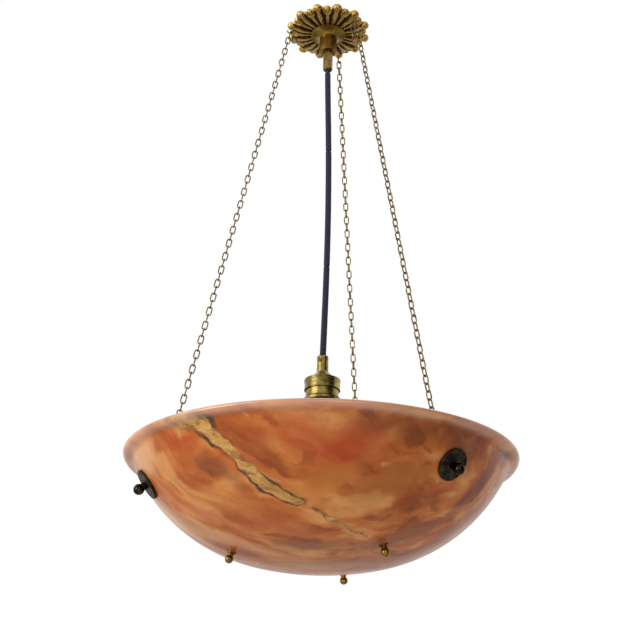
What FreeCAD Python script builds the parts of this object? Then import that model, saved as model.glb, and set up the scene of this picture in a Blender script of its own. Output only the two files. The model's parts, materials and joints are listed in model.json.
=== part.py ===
import FreeCAD, Part
import math
import os
import Sketcher

# Alabaster bowl pendant: a cast brass ceiling rose, three chains that carry the
# stone bowl, and a braided flex with a bayonet lampholder and lamp in the middle.
# Origin: centre of the ceiling face. +Z is up, so the pendant hangs below zero.
# Azimuths run from the front (-Y) towards the right (+X).

Vector = FreeCAD.Vector
Rotation = FreeCAD.Rotation
Placement = FreeCAD.Placement

UP = Vector(0, 0, 1)
SIDE = Vector(0, 1, 0)
ORIGIN = Vector(0, 0, 0)

doc = FreeCAD.newDocument("AlabasterBowlPendant")
sheet = doc.addObject("Spreadsheet::Sheet", "Sizes")

# ---------------------------------------------------------------- driving sizes
SIZES = [
    # bowl
    ("rim_radius", 200, "outer edge of the lip"),
    ("lip_overhang", 7, "outer edge to the lip's lower edge"),
    ("lip_depth", 6.7, "height of the rounded lip"),
    ("lip_bend", 8.4, "curve of the lip's face"),
    ("lip_hollow", 4.6, "hollow curve under the lip"),
    ("lip_edge_radius", 1.6, "rounding of the lip's top edges"),
    ("neck_depth", 9, "where the wall starts below the rim"),
    ("neck_inset", 10.3, "outer edge to the top of the wall"),
    ("bowl_depth", 109, "rim to the lowest point outside"),
    ("bowl_floor_radius", 320, "curvature of the bottom"),
    ("bowl_side_radius", 172.8, "curvature of the sides"),
    ("bowl_wall", 10, "thickness of the stone"),
    # fixings through the bowl
    ("first_azimuth", -77, "azimuth of the left chain"),
    ("bolt_angle", 53.2, "chain bolts, degrees from straight down"),
    ("bolt_radius", 2.4, "chain bolt shank"),
    ("bolt_clearance", 0.5, "hole in the stone round a bolt"),
    ("eye_wire", 1.6, "wire of the chain eye"),
    ("eye_hole_radius", 3, "inside of the chain eye"),
    ("eye_collar_radius", 4.6, "shoulder under the eye"),
    ("eye_collar_height", 1.1, "shoulder under the eye"),
    ("fibre_washer_radius", 7.5, "washer against the stone"),
    ("fibre_washer_height", 1, "washer against the stone"),
    ("disc_radius", 16, "bronze disc washer outside"),
    ("disc_height", 2.4, "bronze disc washer outside"),
    ("disc_bevel", 0.8, "edge of the disc washer"),
    ("ball_radius", 5.5, "ball nut of a chain bolt"),
    ("ball_neck_radius", 3.8, "neck under the ball"),
    ("ball_neck_height", 2.2, "neck under the ball"),
    ("stud_angle", 17.7, "lower studs, degrees from straight down"),
    ("stud_radius", 1.9, "lower stud shank"),
    ("stud_ball_radius", 4.2, "ball nut of a lower stud"),
    ("stud_neck_radius", 2.9, "neck under the small ball"),
    ("stud_neck_height", 1.6, "neck under the small ball"),
    ("stud_collar_radius", 4.6, "brass washer outside"),
    ("stud_collar_height", 1.2, "brass washer outside"),
    ("stud_washer_radius", 6, "fibre washer inside"),
    ("stud_washer_height", 1, "fibre washer inside"),
    ("stud_nut_radius", 4.2, "hexagon nut, centre to corner"),
    ("stud_nut_height", 3, "hexagon nut inside"),
    ("seat_gap", 0.03, "air under a seated washer or nut"),
    ("drill_over", 1, "how far a drill runs past a face"),
    # chains
    ("link_wire", 1.4, "wire of a chain link"),
    ("link_inner_length", 8.6, "inside length of a link"),
    ("link_inner_width", 3.6, "inside width of a link"),
    ("link_count", 67, "links from hook to eye"),
    ("link_slack", 0.1, "air between two hooked links"),
    ("spare_left", 2, "spare links on the left hook"),
    ("spare_right", 4, "spare links on the right hook"),
    ("spare_gap", 0.6, "air between chain and spare links"),
    ("perch_angle", 62, "where spare links sit in a hook, degrees"),
    # ceiling rose
    ("hook_circle", 47.6, "radius of the chain hooks"),
    ("hook_drop", 22.2, "ceiling to the hook's wire"),
    ("hook_wire", 1.8, "wire of a hook"),
    ("hook_bend", 3.6, "bend of a hook, to the wire's middle"),
    ("hook_sweep", 250, "how far the hook closes, degrees"),
    ("hook_collar_radius", 2.4, "shoulder of a hook under the leaf"),
    ("hook_collar_height", 1.4, "shoulder of a hook under the leaf"),
    ("hook_shank", 9, "hook's stem above its bend"),
    ("hook_tip_radius", 1.1, "ball at the hook's open end"),
    ("rose_rim_radius", 43, "widest part of the casting's dish"),
    ("rose_rim_depth", 9, "that part below the ceiling"),
    ("rose_foot_radius", 38, "edge that meets the ceiling"),
    ("rose_centre_radius", 24, "flat centre that carries the boss"),
    ("rose_depth", 15.5, "ceiling to the flat centre"),
    ("rose_wall", 3, "thickness of the casting"),
    ("rose_hollow_radius", 33.4, "inside of that edge"),
    ("rose_hollow_depth", 8, "hollow beside the edge"),
    ("rose_bend", 66, "curve of the casting under the leaves"),
    ("leaf_count", 12, "large leaves"),
    ("leaf_tip_radius", 52, "tips of the large leaves"),
    ("leaf_root_radius", 22, "where the leaves leave the centre"),
    ("leaf_half_width", 6.6, "widest part of a large leaf"),
    ("leaf_half_height", 3.6, "half thickness of a large leaf"),
    ("leaf_root_depth", 14, "middle of a leaf at its root"),
    ("leaf_tip_depth", 9, "middle of a leaf at its tip"),
    ("bud_radius", 4.1, "bud on a large leaf"),
    ("bud_drop", 0.5, "bud's middle below the leaf's"),
    ("small_leaf_share", 0.66, "small leaves, share of a large one"),
    ("small_tip_radius", 46, "tips of the small leaves"),
    # strap, nipple and boss
    ("strap_width", 14, "ceiling strap"),
    ("strap_height", 2, "ceiling strap"),
    ("strap_reach", 32, "centre to the strap's end"),
    ("strap_foot", 15, "flat end of the strap"),
    ("strap_bridge", 12, "half of the strap's lowered middle"),
    ("screw_spacing", 54, "ceiling screw holes"),
    ("screw_hole_radius", 2.25, "ceiling screw holes"),
    ("nipple_radius", 5, "threaded tube"),
    ("nipple_bore", 3.9, "inside of the threaded tube"),
    ("nipple_top", 3.8, "ceiling to the tube's top"),
    ("nipple_foot", 33.5, "ceiling to the tube's foot"),
    ("thread_gap", 0.04, "air between threaded pieces"),
    ("nut_radius", 8.08, "large hexagon nut, centre to corner"),
    ("nut_height", 3, "large hexagon nut"),
    ("boss_flange_radius", 21, "dome under the rose"),
    ("boss_radius", 10.4, "boss"),
    ("boss_flare", 6, "curve from dome to boss"),
    ("boss_flare_bend", 14.8, "curve from dome to boss"),
    ("boss_edge", 1, "edge of the dome"),
    ("boss_foot", 42, "ceiling to the boss's foot"),
    ("boss_chamfer", 1, "foot of the boss"),
    ("boss_socket_depth", 7, "socket for the ferrule"),
    ("ferrule_radius", 5.75, "cord ferrule"),
    ("ferrule_bore", 4.5, "inside of the ferrule"),
    ("ferrule_foot", 68.4, "ceiling to the ferrule's foot"),
    ("ferrule_chamfer", 1.1, "foot of the ferrule"),
    ("ferrule_taper", 1.4, "height of the chamfer at its foot"),
    ("gland_bore", 3.5, "inside of the rubber gland"),
    ("gland_height", 7, "rubber gland"),
    ("gland_stop", 1, "room above the gland in its bore"),
    # wiring in the rose
    ("block_length", 22, "terminal block"),
    ("block_width", 12, "terminal block"),
    ("block_height", 9, "terminal block"),
    ("block_offset", 9.5, "centre of the rose to the block"),
    ("block_floor", 1, "plastic under a terminal's tube"),
    ("pole_spacing", 7, "between two terminals"),
    ("pole_bore", 1.4, "wire hole of a terminal"),
    ("pole_screw_radius", 1.3, "terminal screw"),
    ("pole_screw_height", 3.2, "terminal screw"),
    ("terminal_sink", 0.4, "terminal screw below the block's face"),
    ("core_radius", 0.9, "insulated core"),
    ("core_rise", 1.9, "height of the cores' run over the flex"),
    ("core_stand", 1.4, "cores in front of the terminal block"),
    ("core_stop", 2, "core's end before the terminal's middle"),
    ("core_bend", 1, "bend of an insulated core"),
    # cord
    ("cord_radius", 3.4, "braided flex"),
    ("cord_gap", 0.3, "ferrule or holder to the free cord"),
    # lampholder, measured down from its top
    ("holder_top", 439.4, "ceiling to the cord grip's top"),
    ("collar_radius", 6.1, "cord grip"),
    ("collar_height", 10.4, "cord grip"),
    ("collar_round", 1.4, "rounded top of the cord grip"),
    ("grip_azimuth", -28, "where the grip screw stands"),
    ("grip_screw_depth", 5.6, "grip screw below the grip's top"),
    ("grip_screw_radius", 1.5, "grip screw"),
    ("grip_head_radius", 2.3, "head of the grip screw"),
    ("grip_slot", 0.6, "slot of the grip screw"),
    ("neck_radius", 6.2, "cap's neck"),
    ("neck_foot", 17.8, "foot of the cap's neck"),
    ("shoulder_foot", 27, "foot of the cap's shoulder"),
    ("cap_foot", 39, "foot of the cap"),
    ("cap_radius", 19.1, "outside of the cap"),
    ("cap_wall", 1, "brass sheet of the cap"),
    ("cap_bead", 0.7, "beads round the cap"),
    ("cap_shoulder_bend", 24, "curve of the cap's shoulder"),
    ("cap_thread", 3, "thread that holds the cord grip"),
    ("sleeve_radius", 17.35, "outside of the holder's sleeve"),
    ("sleeve_wall", 1.2, "holder's sleeve"),
    ("sleeve_neck", 46, "where the sleeve narrows"),
    ("socket_radius", 12.3, "outside of the socket tube"),
    ("socket_bore", 11.25, "inside of the socket tube"),
    ("socket_foot", 63, "mouth of the socket"),
    ("ring_radius", 20, "shade rings"),
    ("ring_height", 4, "shade rings"),
    ("ring_gap", 1.2, "between the shade rings"),
    ("insulator_top", 29.5, "ceramic insert, below the grip's top"),
    ("insulator_foot", 43, "foot of the ceramic insert"),
    ("insulator_radius", 10.9, "ceramic insert"),
    ("insulator_flange", 16.9, "flange of the ceramic insert"),
    ("insulator_flange_height", 4, "flange of the ceramic insert"),
    ("plunger_spacing", 9, "between the two contacts"),
    ("plunger_radius", 1.9, "contact plunger"),
    ("plunger_reach", 2.4, "plunger below the ceramic"),
    ("plunger_length", 8, "contact plunger"),
    ("plunger_fit", 0.08, "air round a plunger"),
    ("plunger_tip", 0.6, "rounding of a plunger's tip"),
    ("plunger_room", 4, "spring room above a plunger"),
    ("spring_wire", 0.25, "contact spring wire radius"),
    ("spring_air", 0.3, "air between a spring and its bore"),
    ("stub_foot", 21, "end of the flex inside the holder"),
    ("post_radius", 2, "brass terminal post on the ceramic"),
    ("post_height", 3.5, "brass terminal post on the ceramic"),
    ("core_spread", 2.1, "between two cores as they leave the flex"),
    # lamp
    ("lamp_cap_radius", 10.95, "bayonet cap"),
    ("lamp_cap_wall", 0.5, "bayonet cap"),
    ("lamp_cap_length", 19, "bayonet cap"),
    ("lamp_pin_radius", 1, "bayonet pins"),
    ("lamp_pin_reach", 1.25, "bayonet pins beyond the cap"),
    ("lamp_pin_drop", 7, "pins below the cap's top"),
    ("pin_slot_gap", 0.35, "slot round a pin"),
    ("push_travel", 2, "how far the lamp pushes in"),
    ("slot_turn", 25, "turn of the lamp in its slots, degrees"),
    ("contact_radius", 2.2, "solder pads"),
    ("contact_height", 0.8, "solder pads"),
    ("lamp_radius", 30, "widest part of the glass"),
    ("lamp_neck_radius", 14.5, "neck of the glass"),
    ("lamp_length", 103, "whole lamp"),
    ("lamp_wall", 0.9, "glass"),
    ("lamp_stem_hold", 6, "glass held inside the bayonet cap"),
    ("lamp_waist", 2, "cap to the narrowest glass"),
    ("lamp_neck_length", 9, "cap to the neck of the glass"),
    ("lamp_shoulder", 5.4, "shoulder above the ball's middle"),
    ("lamp_shoulder_bend", 66, "curve from neck to ball"),
    ("vitrite_radius", 9.2, "black glass in the cap's end"),
    ("cap_edge_round", 0.6, "edge of the bayonet cap"),
    ("pad_bevel", 0.5, "edge of a solder pad"),
]


def column_cell(column, row):
    return column + str(row + 1)


for row, (alias, number, meaning) in enumerate(SIZES):
    sheet.set(column_cell("A", row), meaning)
    sheet.set(column_cell("B", row), str(number))
    sheet.setAlias(column_cell("B", row), alias)
doc.recompute()


class Size:
    """A length or angle: its number, and the sheet formula that gives it."""

    def __init__(self, number, formula):
        self.number = number
        self.formula = formula

    def joined(self, other, sign, number):
        return Size(number, f"({self.formula} {sign} {other.formula})")

    def __add__(self, other):
        other = as_size(other)
        return self.joined(other, "+", self.number + other.number)

    def __sub__(self, other):
        other = as_size(other)
        return self.joined(other, "-", self.number - other.number)

    def __mul__(self, other):
        other = as_size(other)
        return self.joined(other, "*", self.number * other.number)

    def __truediv__(self, other):
        other = as_size(other)
        return self.joined(other, "/", self.number / other.number)

    def __neg__(self):
        return Size(-self.number, f"(0 - {self.formula})")

    def __radd__(self, other):
        return as_size(other) + self

    def __rsub__(self, other):
        return as_size(other) - self

    def __rmul__(self, other):
        return as_size(other) * self


def as_size(value):
    if isinstance(value, Size):
        return value
    return Size(float(value), repr(float(value)))


def root(size):
    return Size(math.sqrt(size.number), f"sqrt({size.formula})")


def sine(size):
    return Size(math.sin(math.radians(size.number)), f"sin({size.formula} * 1 deg)")


def cosine(size):
    return Size(math.cos(math.radians(size.number)), f"cos({size.formula} * 1 deg)")


def angle_of_cosine(size):
    """Degrees, as a plain number."""
    return Size(math.degrees(math.acos(size.number)), f"(acos({size.formula}) / 1 deg)")


def angle_of_slope(across, along):
    """Degrees from the second direction towards the first, as a plain number."""
    number = math.degrees(math.atan2(across.number, along.number))
    return Size(number, f"(atan2({across.formula}; {along.formula}) / 1 deg)")


class SheetSizes:
    def __getattr__(self, alias):
        return Size(float(sheet.get(alias)), "Sizes." + alias)


S = SheetSizes()

# ------------------------------------------------------------------ making tools
nodes = {}


def node(label, shape_object):
    """Name a finished piece; the label is the file's name."""
    shape_object.Label = label
    nodes[label] = shape_object
    return shape_object


def bind(shape_object, **properties):
    for name, size in properties.items():
        shape_object.setExpression(name, as_size(size).formula)


def origin_plane(body, role):
    return next(plane for plane in body.Origin.OriginFeatures if plane.Role == role)


def arc_between(start, end, bend):
    """Arc from start to end; a positive bend turns left, a negative one right."""
    chord = end - start
    middle = (start + end) * 0.5
    left = Vector(-chord.y, chord.x, 0).normalize()
    rise = math.sqrt(max(bend * bend - chord.Length ** 2 / 4, 0))
    centre = middle + left * math.copysign(rise, bend)
    first, last = (start, end) if bend > 0 else (end, start)
    angles = [math.atan2(point.y - centre.y, point.x - centre.x) for point in (first, last)]
    return Part.ArcOfCircle(Part.Circle(centre, UP, abs(bend)), angles[0], angles[1])


def outline_sketch(body, corners, role="XZ_Plane"):
    """Closed outline. A corner is (x, y), or (x, y, bend) where an arc leads to it."""
    sketch = body.newObject("Sketcher::SketchObject", body.Name + "_outline")
    sketch.AttachmentSupport = [(origin_plane(body, role), "")]
    sketch.MapMode = "FlatFace"
    corners = [tuple(as_size(value) for value in corner) for corner in corners]
    points = [Vector(corner[0].number, corner[1].number, 0) for corner in corners]
    ends = []
    for index, corner in enumerate(corners):
        if len(corner) == 2:
            sketch.addGeometry(Part.LineSegment(points[index - 1], points[index]), False)
            ends.append((1, 2))
        else:
            bend = corner[2].number
            sketch.addGeometry(arc_between(points[index - 1], points[index], bend), False)
            ends.append((1, 2) if bend > 0 else (2, 1))
    count = len(corners)
    for index, corner in enumerate(corners):
        after = (index + 1) % count
        sketch.addConstraint(
            Sketcher.Constraint("Coincident", index, ends[index][1], after, ends[after][0]))
        place_corner(sketch, index, ends[index][1], corner)
        if len(corner) == 3:
            radius = abs(corner[2].number)
            number = sketch.addConstraint(Sketcher.Constraint("Radius", index, radius))
            sketch.setExpression(f"Constraints[{number}]", f"abs({corner[2].formula})")
    return sketch


def place_corner(sketch, edge, end, corner):
    for kind, axis, size in (("DistanceX", -2, corner[0]), ("DistanceY", -1, corner[1])):
        if size.number == 0:
            sketch.addConstraint(Sketcher.Constraint("PointOnObject", edge, end, axis))
        else:
            rule = Sketcher.Constraint(kind, -1, 1, edge, end, size.number)
            number = sketch.addConstraint(rule)
            sketch.setExpression(f"Constraints[{number}]", size.formula)


def turned(name, corners, placement=None):
    """A piece turned on the lathe: its half section is spun round the Z axis."""
    body = doc.addObject("PartDesign::Body", name)
    sketch = outline_sketch(body, corners)
    turning = body.newObject("PartDesign::Revolution", name + "_turning")
    turning.Profile = sketch
    turning.ReferenceAxis = (sketch, ["V_Axis"])
    turning.Angle = 360
    body.Tip = turning
    if placement is not None:
        body.Placement = placement
    return body


def padded(name, corners, length, role="XY_Plane", midplane=False):
    """A piece cut from plate: its outline, and the plate's thickness."""
    body = doc.addObject("PartDesign::Body", name)
    sketch = outline_sketch(body, corners, role)
    pad = body.newObject("PartDesign::Pad", name + "_pad")
    pad.Profile = sketch
    pad.Midplane = midplane
    bind(pad, Length=length)
    body.Tip = pad
    return body


def cylinder(name, radius, height, placement=None):
    rod = doc.addObject("Part::Cylinder", name)
    bind(rod, Radius=radius, Height=height)
    if placement is not None:
        rod.Placement = placement
    return rod


def sphere(name, radius, placement):
    ball = doc.addObject("Part::Sphere", name)
    bind(ball, Radius=radius)
    ball.Placement = placement
    return ball


def ring(name, bend, wire_radius, placement, sweep=None):
    torus = doc.addObject("Part::Torus", name)
    bind(torus, Radius1=bend, Radius2=wire_radius)
    if sweep is not None:
        bind(torus, Angle3=sweep)
    torus.Placement = placement
    return torus


def block(name, length, width, height, placement):
    """Square-cornered block, grown from its own lowest corner."""
    solid = doc.addObject("Part::Box", name)
    bind(solid, Length=length, Width=width, Height=height)
    solid.Placement = placement
    return solid


def hexagon(name, corner_radius, height, placement=None):
    prism = doc.addObject("Part::Prism", name)
    prism.Polygon = 6
    bind(prism, Circumradius=corner_radius, Height=height)
    if placement is not None:
        prism.Placement = placement
    return prism


def fused(name, pieces):
    union = doc.addObject("Part::MultiFuse", name)
    union.Shapes = pieces
    return union


def cut(name, base, tools):
    tool = tools[0] if len(tools) == 1 else fused(name + "_tools", tools)
    result = doc.addObject("Part::Cut", name)
    result.Base = base
    result.Tool = tool
    return result


def copies(name, source, placements):
    """Like pieces that share one node, each at its own place."""
    links = []
    for number, placement in enumerate(placements):
        link = doc.addObject("App::Link", f"{name}_{number + 1}")
        link.LinkedObject = source
        link.LinkTransform = False
        link.Placement = placement
        links.append(link)
    group = doc.addObject("Part::Compound", name + "_group")
    group.Links = links
    return group


def at(x=0, y=0, z=0, rotation=None):
    values = [as_size(value).number for value in (x, y, z)]
    return Placement(Vector(*values), rotation or Rotation())


def facing(azimuth):
    """Turns local X outwards along an azimuth."""
    return Rotation(UP, azimuth - 90)


def outward(azimuth, radius, height, rotation=None):
    """A place on the circle of that radius, local X pointing outwards."""
    turn = facing(azimuth)
    point = turn.multVec(Vector(radius, 0, height))
    return Placement(point, turn * (rotation or Rotation()))


AZIMUTHS = {
    "left": S.first_azimuth.number,
    "right": S.first_azimuth.number + 120,
    "back": S.first_azimuth.number + 240,
}

# ------------------------------------------------------------------- chain layout
# The wall's two arcs share a tangent, and the side arc ends at the top of the wall. The
# triangle of the arcs' centres and that end gives the angle where the arcs meet.
neck_radius_outside = S.rim_radius - S.neck_inset
floor_centre = S.bowl_floor_radius - S.bowl_depth
neck_below_centre = S.neck_depth + floor_centre
centre_to_neck = root(
    neck_radius_outside * neck_radius_outside + neck_below_centre * neck_below_centre)
centres_apart = S.bowl_floor_radius - S.bowl_side_radius
corner_cosine = (
    (centre_to_neck + S.bowl_side_radius) * (centre_to_neck - S.bowl_side_radius)
    + centres_apart * centres_apart) / (2 * centres_apart * centre_to_neck)
floor_angle = (
    angle_of_slope(neck_radius_outside, neck_below_centre) - angle_of_cosine(corner_cosine))
side_centre_radius = centres_apart * sine(floor_angle)
side_centre_height = floor_centre - centres_apart * cosine(floor_angle)


def wall_arc(lean):
    """Centre and outside radius of the wall's arc where a fixing with that lean stands."""
    if lean.number < floor_angle.number:
        return as_size(0), floor_centre, S.bowl_floor_radius
    return side_centre_radius, side_centre_height, S.bowl_side_radius


def wall_seat(lean, washer_radius):
    """Distance from the arc's centre to a flat washer inside the curved wall."""
    inside = wall_arc(lean)[2] - S.bowl_wall
    return root(inside * inside - washer_radius * washer_radius) - S.seat_gap


bolt_centre_radius, bolt_centre_height, bolt_arc = wall_arc(S.bolt_angle)
fibre_seat = wall_seat(S.bolt_angle, S.fibre_washer_radius)
eye_bend = S.eye_hole_radius + S.eye_wire / 2
eye_collar_seat = fibre_seat - S.fibre_washer_height - S.seat_gap
eye_distance = eye_collar_seat - S.eye_collar_height - eye_bend

eye_radius = bolt_centre_radius + eye_distance * sine(S.bolt_angle)
eye_below_rim = eye_distance * cosine(S.bolt_angle) - bolt_centre_height

# The left chain's last link hangs from the top of its eye, which sets the drop.
pull_height = S.eye_hole_radius - S.link_wire / 2 - S.link_slack
lower_pivot_below_rim = eye_below_rim - pull_height
wires_apart = (S.hook_wire + S.link_wire) / 2 + S.link_slack
chain_reach = (
    S.link_count * S.link_inner_length + S.link_wire
    - (S.link_count - 1) * S.link_slack - wires_apart)
chain_run = eye_radius - S.hook_circle
chain_drop = root(chain_reach * chain_reach - chain_run * chain_run)
rim_depth = S.hook_drop + chain_drop - lower_pivot_below_rim
rim_height = -rim_depth.number

# ------------------------------------------------------------------ alabaster bowl
join_radius = S.bowl_floor_radius * sine(floor_angle)
join_height = floor_centre - S.bowl_floor_radius * cosine(floor_angle)
inner_floor_radius = S.bowl_floor_radius - S.bowl_wall
inner_side_radius = S.bowl_side_radius - S.bowl_wall
inner_join_radius = inner_floor_radius * sine(floor_angle)
inner_join_height = floor_centre - inner_floor_radius * cosine(floor_angle)
inner_reach = side_centre_height + S.lip_edge_radius
inner_lip_radius = side_centre_radius + root(
    (inner_side_radius + inner_reach) * (inner_side_radius - inner_reach))

bowl_blank = turned("bowl_blank", [
    (0, -S.bowl_depth),
    (join_radius, join_height, S.bowl_floor_radius),
    (neck_radius_outside, -S.neck_depth, S.bowl_side_radius),
    (S.rim_radius - S.lip_overhang, -S.lip_depth, -S.lip_hollow),
    (S.rim_radius, -S.lip_edge_radius, S.lip_bend),
    (S.rim_radius - S.lip_edge_radius, 0, S.lip_edge_radius),
    (inner_lip_radius + S.lip_edge_radius, 0),
    (inner_lip_radius, -S.lip_edge_radius, S.lip_edge_radius),
    (inner_join_radius, inner_join_height, -inner_side_radius),
    (0, S.bowl_wall - S.bowl_depth, -inner_floor_radius),
])


def wall_frame(azimuth, lean, distance=0):
    """A place on a fixing's axis; local Z points outwards through the wall."""
    centre_radius, centre_height, _ = wall_arc(lean)
    angle = math.radians(lean.number)
    distance = as_size(distance).number
    return outward(azimuth, centre_radius.number + distance * math.sin(angle),
                   centre_height.number - distance * math.cos(angle), Rotation(SIDE, 180 - lean.number))


def hung(placement):
    """Moves a place in the bowl, measured from the rim, down to the hanging bowl."""
    return Placement(Vector(0, 0, rim_height), Rotation()) * placement


def wall_drills(name, radius, lean):
    start = wall_arc(lean)[2] - S.bowl_wall - S.drill_over * 2
    return [
        cylinder(f"{name}_{side}", radius + S.bolt_clearance, S.bowl_wall + S.drill_over * 4,
                 wall_frame(azimuth, lean, start))
        for side, azimuth in AZIMUTHS.items()
    ]


bowl_drills = wall_drills("bolt_hole", S.bolt_radius, S.bolt_angle)
bowl_drills += wall_drills("stud_hole", S.stud_radius, S.stud_angle)
bowl = cut("bowl", bowl_blank, bowl_drills)
bowl.Placement = at(z=rim_height)
node("alabaster_bowl", bowl)

# ---------------------------------------------------------------- chain bolts (bowl)
disc_seat = bolt_arc + S.seat_gap
ball_seat = disc_seat + S.disc_height + S.seat_gap
ball_length = S.ball_neck_height + 2 * S.ball_radius
ball_thread_depth = S.ball_neck_height + S.ball_radius


def eye_bolt(side, azimuth):
    """Ring, shoulder and threaded shank in one, its local Z along the bolt."""
    eye = ring(f"eye_{side}", eye_bend, S.eye_wire / 2, at(rotation=Rotation(Vector(1, 0, 0), 90)))
    collar_start = eye_collar_seat - S.eye_collar_height - eye_distance
    collar = cylinder(f"eye_collar_{side}", S.eye_collar_radius, S.eye_collar_height,
                      at(z=collar_start))
    shank_end = ball_seat + ball_thread_depth - S.seat_gap
    shank = cylinder(f"eye_shank_{side}", S.bolt_radius,
                     shank_end - eye_distance - collar_start, at(z=collar_start))
    bolt = fused(f"eye_bolt_{side}_body", [eye, collar, shank])
    bolt.Placement = hung(wall_frame(azimuth, S.bolt_angle, eye_distance))
    node(f"eye_bolt_{side}", bolt)


for side, azimuth in AZIMUTHS.items():
    eye_bolt(side, azimuth)


def washer(name, outer, bore, height, bevel=None):
    """Flat washer lying on its local XY plane; a bevel breaks its far edge."""
    if bevel is None:
        return turned(name, [(bore, 0), (outer, 0), (outer, height), (bore, height)])
    return turned(name, [
        (bore, 0), (outer, 0), (outer, height - bevel), (outer - bevel, height), (bore, height)])


def ball_nut(name, ball, neck_radius, neck_height, bore):
    """Turned ball on a short neck, with a blind threaded hole."""
    centre = neck_height + ball
    neck_meets = centre - root(ball * ball - neck_radius * neck_radius)
    return turned(name, [
        (bore, 0), (neck_radius, 0), (neck_radius, neck_meets), (0, centre + ball, ball),
        (0, centre), (bore, centre)])


def on_wall(lean, distance):
    return [hung(wall_frame(azimuth, lean, distance)) for azimuth in AZIMUTHS.values()]


bolt_bore = S.bolt_radius + S.thread_gap
node("inner_washers", copies(
    "inner_washers",
    washer("fibre_washer", S.fibre_washer_radius, bolt_bore, S.fibre_washer_height),
    on_wall(S.bolt_angle, fibre_seat - S.fibre_washer_height)))
node("disc_washers", copies(
    "disc_washers",
    washer("disc_washer", S.disc_radius, bolt_bore, S.disc_height, S.disc_bevel),
    on_wall(S.bolt_angle, disc_seat)))
node("ball_nuts", copies(
    "ball_nuts",
    ball_nut("ball_nut", S.ball_radius, S.ball_neck_radius, S.ball_neck_height, bolt_bore),
    on_wall(S.bolt_angle, ball_seat)))

# --------------------------------------------------------------- lower studs (bowl)
stud_bore = S.stud_radius + S.thread_gap
stud_washer_seat = wall_seat(S.stud_angle, S.stud_washer_radius) - S.stud_washer_height
stud_nut_seat = stud_washer_seat - S.seat_gap - S.stud_nut_height
stud_collar_seat = wall_arc(S.stud_angle)[2] + S.seat_gap
stud_ball_seat = stud_collar_seat + S.stud_collar_height + S.seat_gap
stud_top = stud_nut_seat - S.stud_radius
stud_end = stud_ball_seat + S.stud_neck_height + S.stud_ball_radius - S.seat_gap
node("stud_bolts", copies(
    "stud_bolts", cylinder("stud", S.stud_radius, stud_end - stud_top),
    on_wall(S.stud_angle, stud_top)))
node("stud_inner_washers", copies(
    "stud_inner_washers",
    washer("stud_washer", S.stud_washer_radius, stud_bore, S.stud_washer_height),
    on_wall(S.stud_angle, stud_washer_seat)))
node("stud_hex_nuts", copies(
    "stud_hex_nuts",
    cut("stud_nut", hexagon("stud_nut_blank", S.stud_nut_radius, S.stud_nut_height),
        [cylinder("stud_nut_bore", stud_bore, S.stud_nut_height)]),
    on_wall(S.stud_angle, stud_nut_seat)))
node("stud_collars", copies(
    "stud_collars", washer("stud_collar", S.stud_collar_radius, stud_bore, S.stud_collar_height),
    on_wall(S.stud_angle, stud_collar_seat)))
node("stud_ball_nuts", copies(
    "stud_ball_nuts",
    ball_nut("stud_ball", S.stud_ball_radius, S.stud_neck_radius, S.stud_neck_height, stud_bore),
    on_wall(S.stud_angle, stud_ball_seat)))

# -------------------------------------------------------------------------- chains
link_wire = S.link_wire.number
link_bend = (S.link_inner_width.number + link_wire) / 2
link_straight = S.link_inner_length.number - S.link_inner_width.number


def half_loop(height, start_angle):
    loop = Part.makeTorus(link_bend, link_wire / 2, ORIGIN, UP, -180, 180, 180)
    loop.rotate(ORIGIN, UP, start_angle)
    loop.rotate(ORIGIN, Vector(1, 0, 0), 90)
    loop.translate(Vector(0, 0, height))
    return loop


def chain_link():
    """One oval link in its local XZ plane, long way up."""
    half = link_straight / 2
    straights = [
        Part.makeCylinder(link_wire / 2, link_straight, Vector(across, 0, -half), UP)
        for across in (-link_bend, link_bend)
    ]
    loops = [half_loop(half, 0), half_loop(-half, 180)]
    return straights[0].fuse(straights[1:] + loops).removeSplitter()


one_link = chain_link()
link_half = (S.link_inner_length.number + link_wire) / 2


def link_row(start, direction, count, spacing, azimuth, first_across):
    """Links along a line; start is the middle of the first link's upper wire."""
    lean = Rotation(Vector(0, 0, -1), direction)
    row = []
    for number in range(count):
        across = (number % 2 == 0) == first_across
        twist = Rotation(UP, azimuth if across else azimuth + 90)
        centre = start + direction * (link_half + number * spacing)
        row.append(one_link.transformed(Placement(centre, lean * twist).toMatrix()))
    return row


def link_node(label, links):
    feature = doc.addObject("Part::Feature", label + "_shape")
    feature.Shape = Part.makeCompound(links)
    feature.Placement = Placement()
    node(label, feature)


def point_out(azimuth, radius, height):
    return outward(azimuth, radius, height).Base


chain_places = {}
eye_height = rim_height - eye_below_rim.number
for side, azimuth in AZIMUTHS.items():
    hook_point = point_out(azimuth, S.hook_circle.number, -S.hook_drop.number)
    lift = pull_height.number if side == "left" else 0
    foot = point_out(azimuth, eye_radius.number, eye_height + lift)
    downward = (foot - hook_point).normalize()
    top_wire = hook_point - downward * wires_apart.number
    count = int(S.link_count.number)
    taut_length = (foot - top_wire).Length
    spacing = (taut_length - 2 * link_half + link_wire) / (count - 1)
    links = link_row(top_wire, downward, count, spacing, azimuth, True)
    chain_places[side] = (hook_point, downward, top_wire)
    last = count - 1 if side == "left" else count
    link_node(f"top_link_{side}", links[:1])
    link_node(f"chain_{side}", links[1:last])
    if side == "left":
        link_node("bottom_link_left", links[last:])

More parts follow.
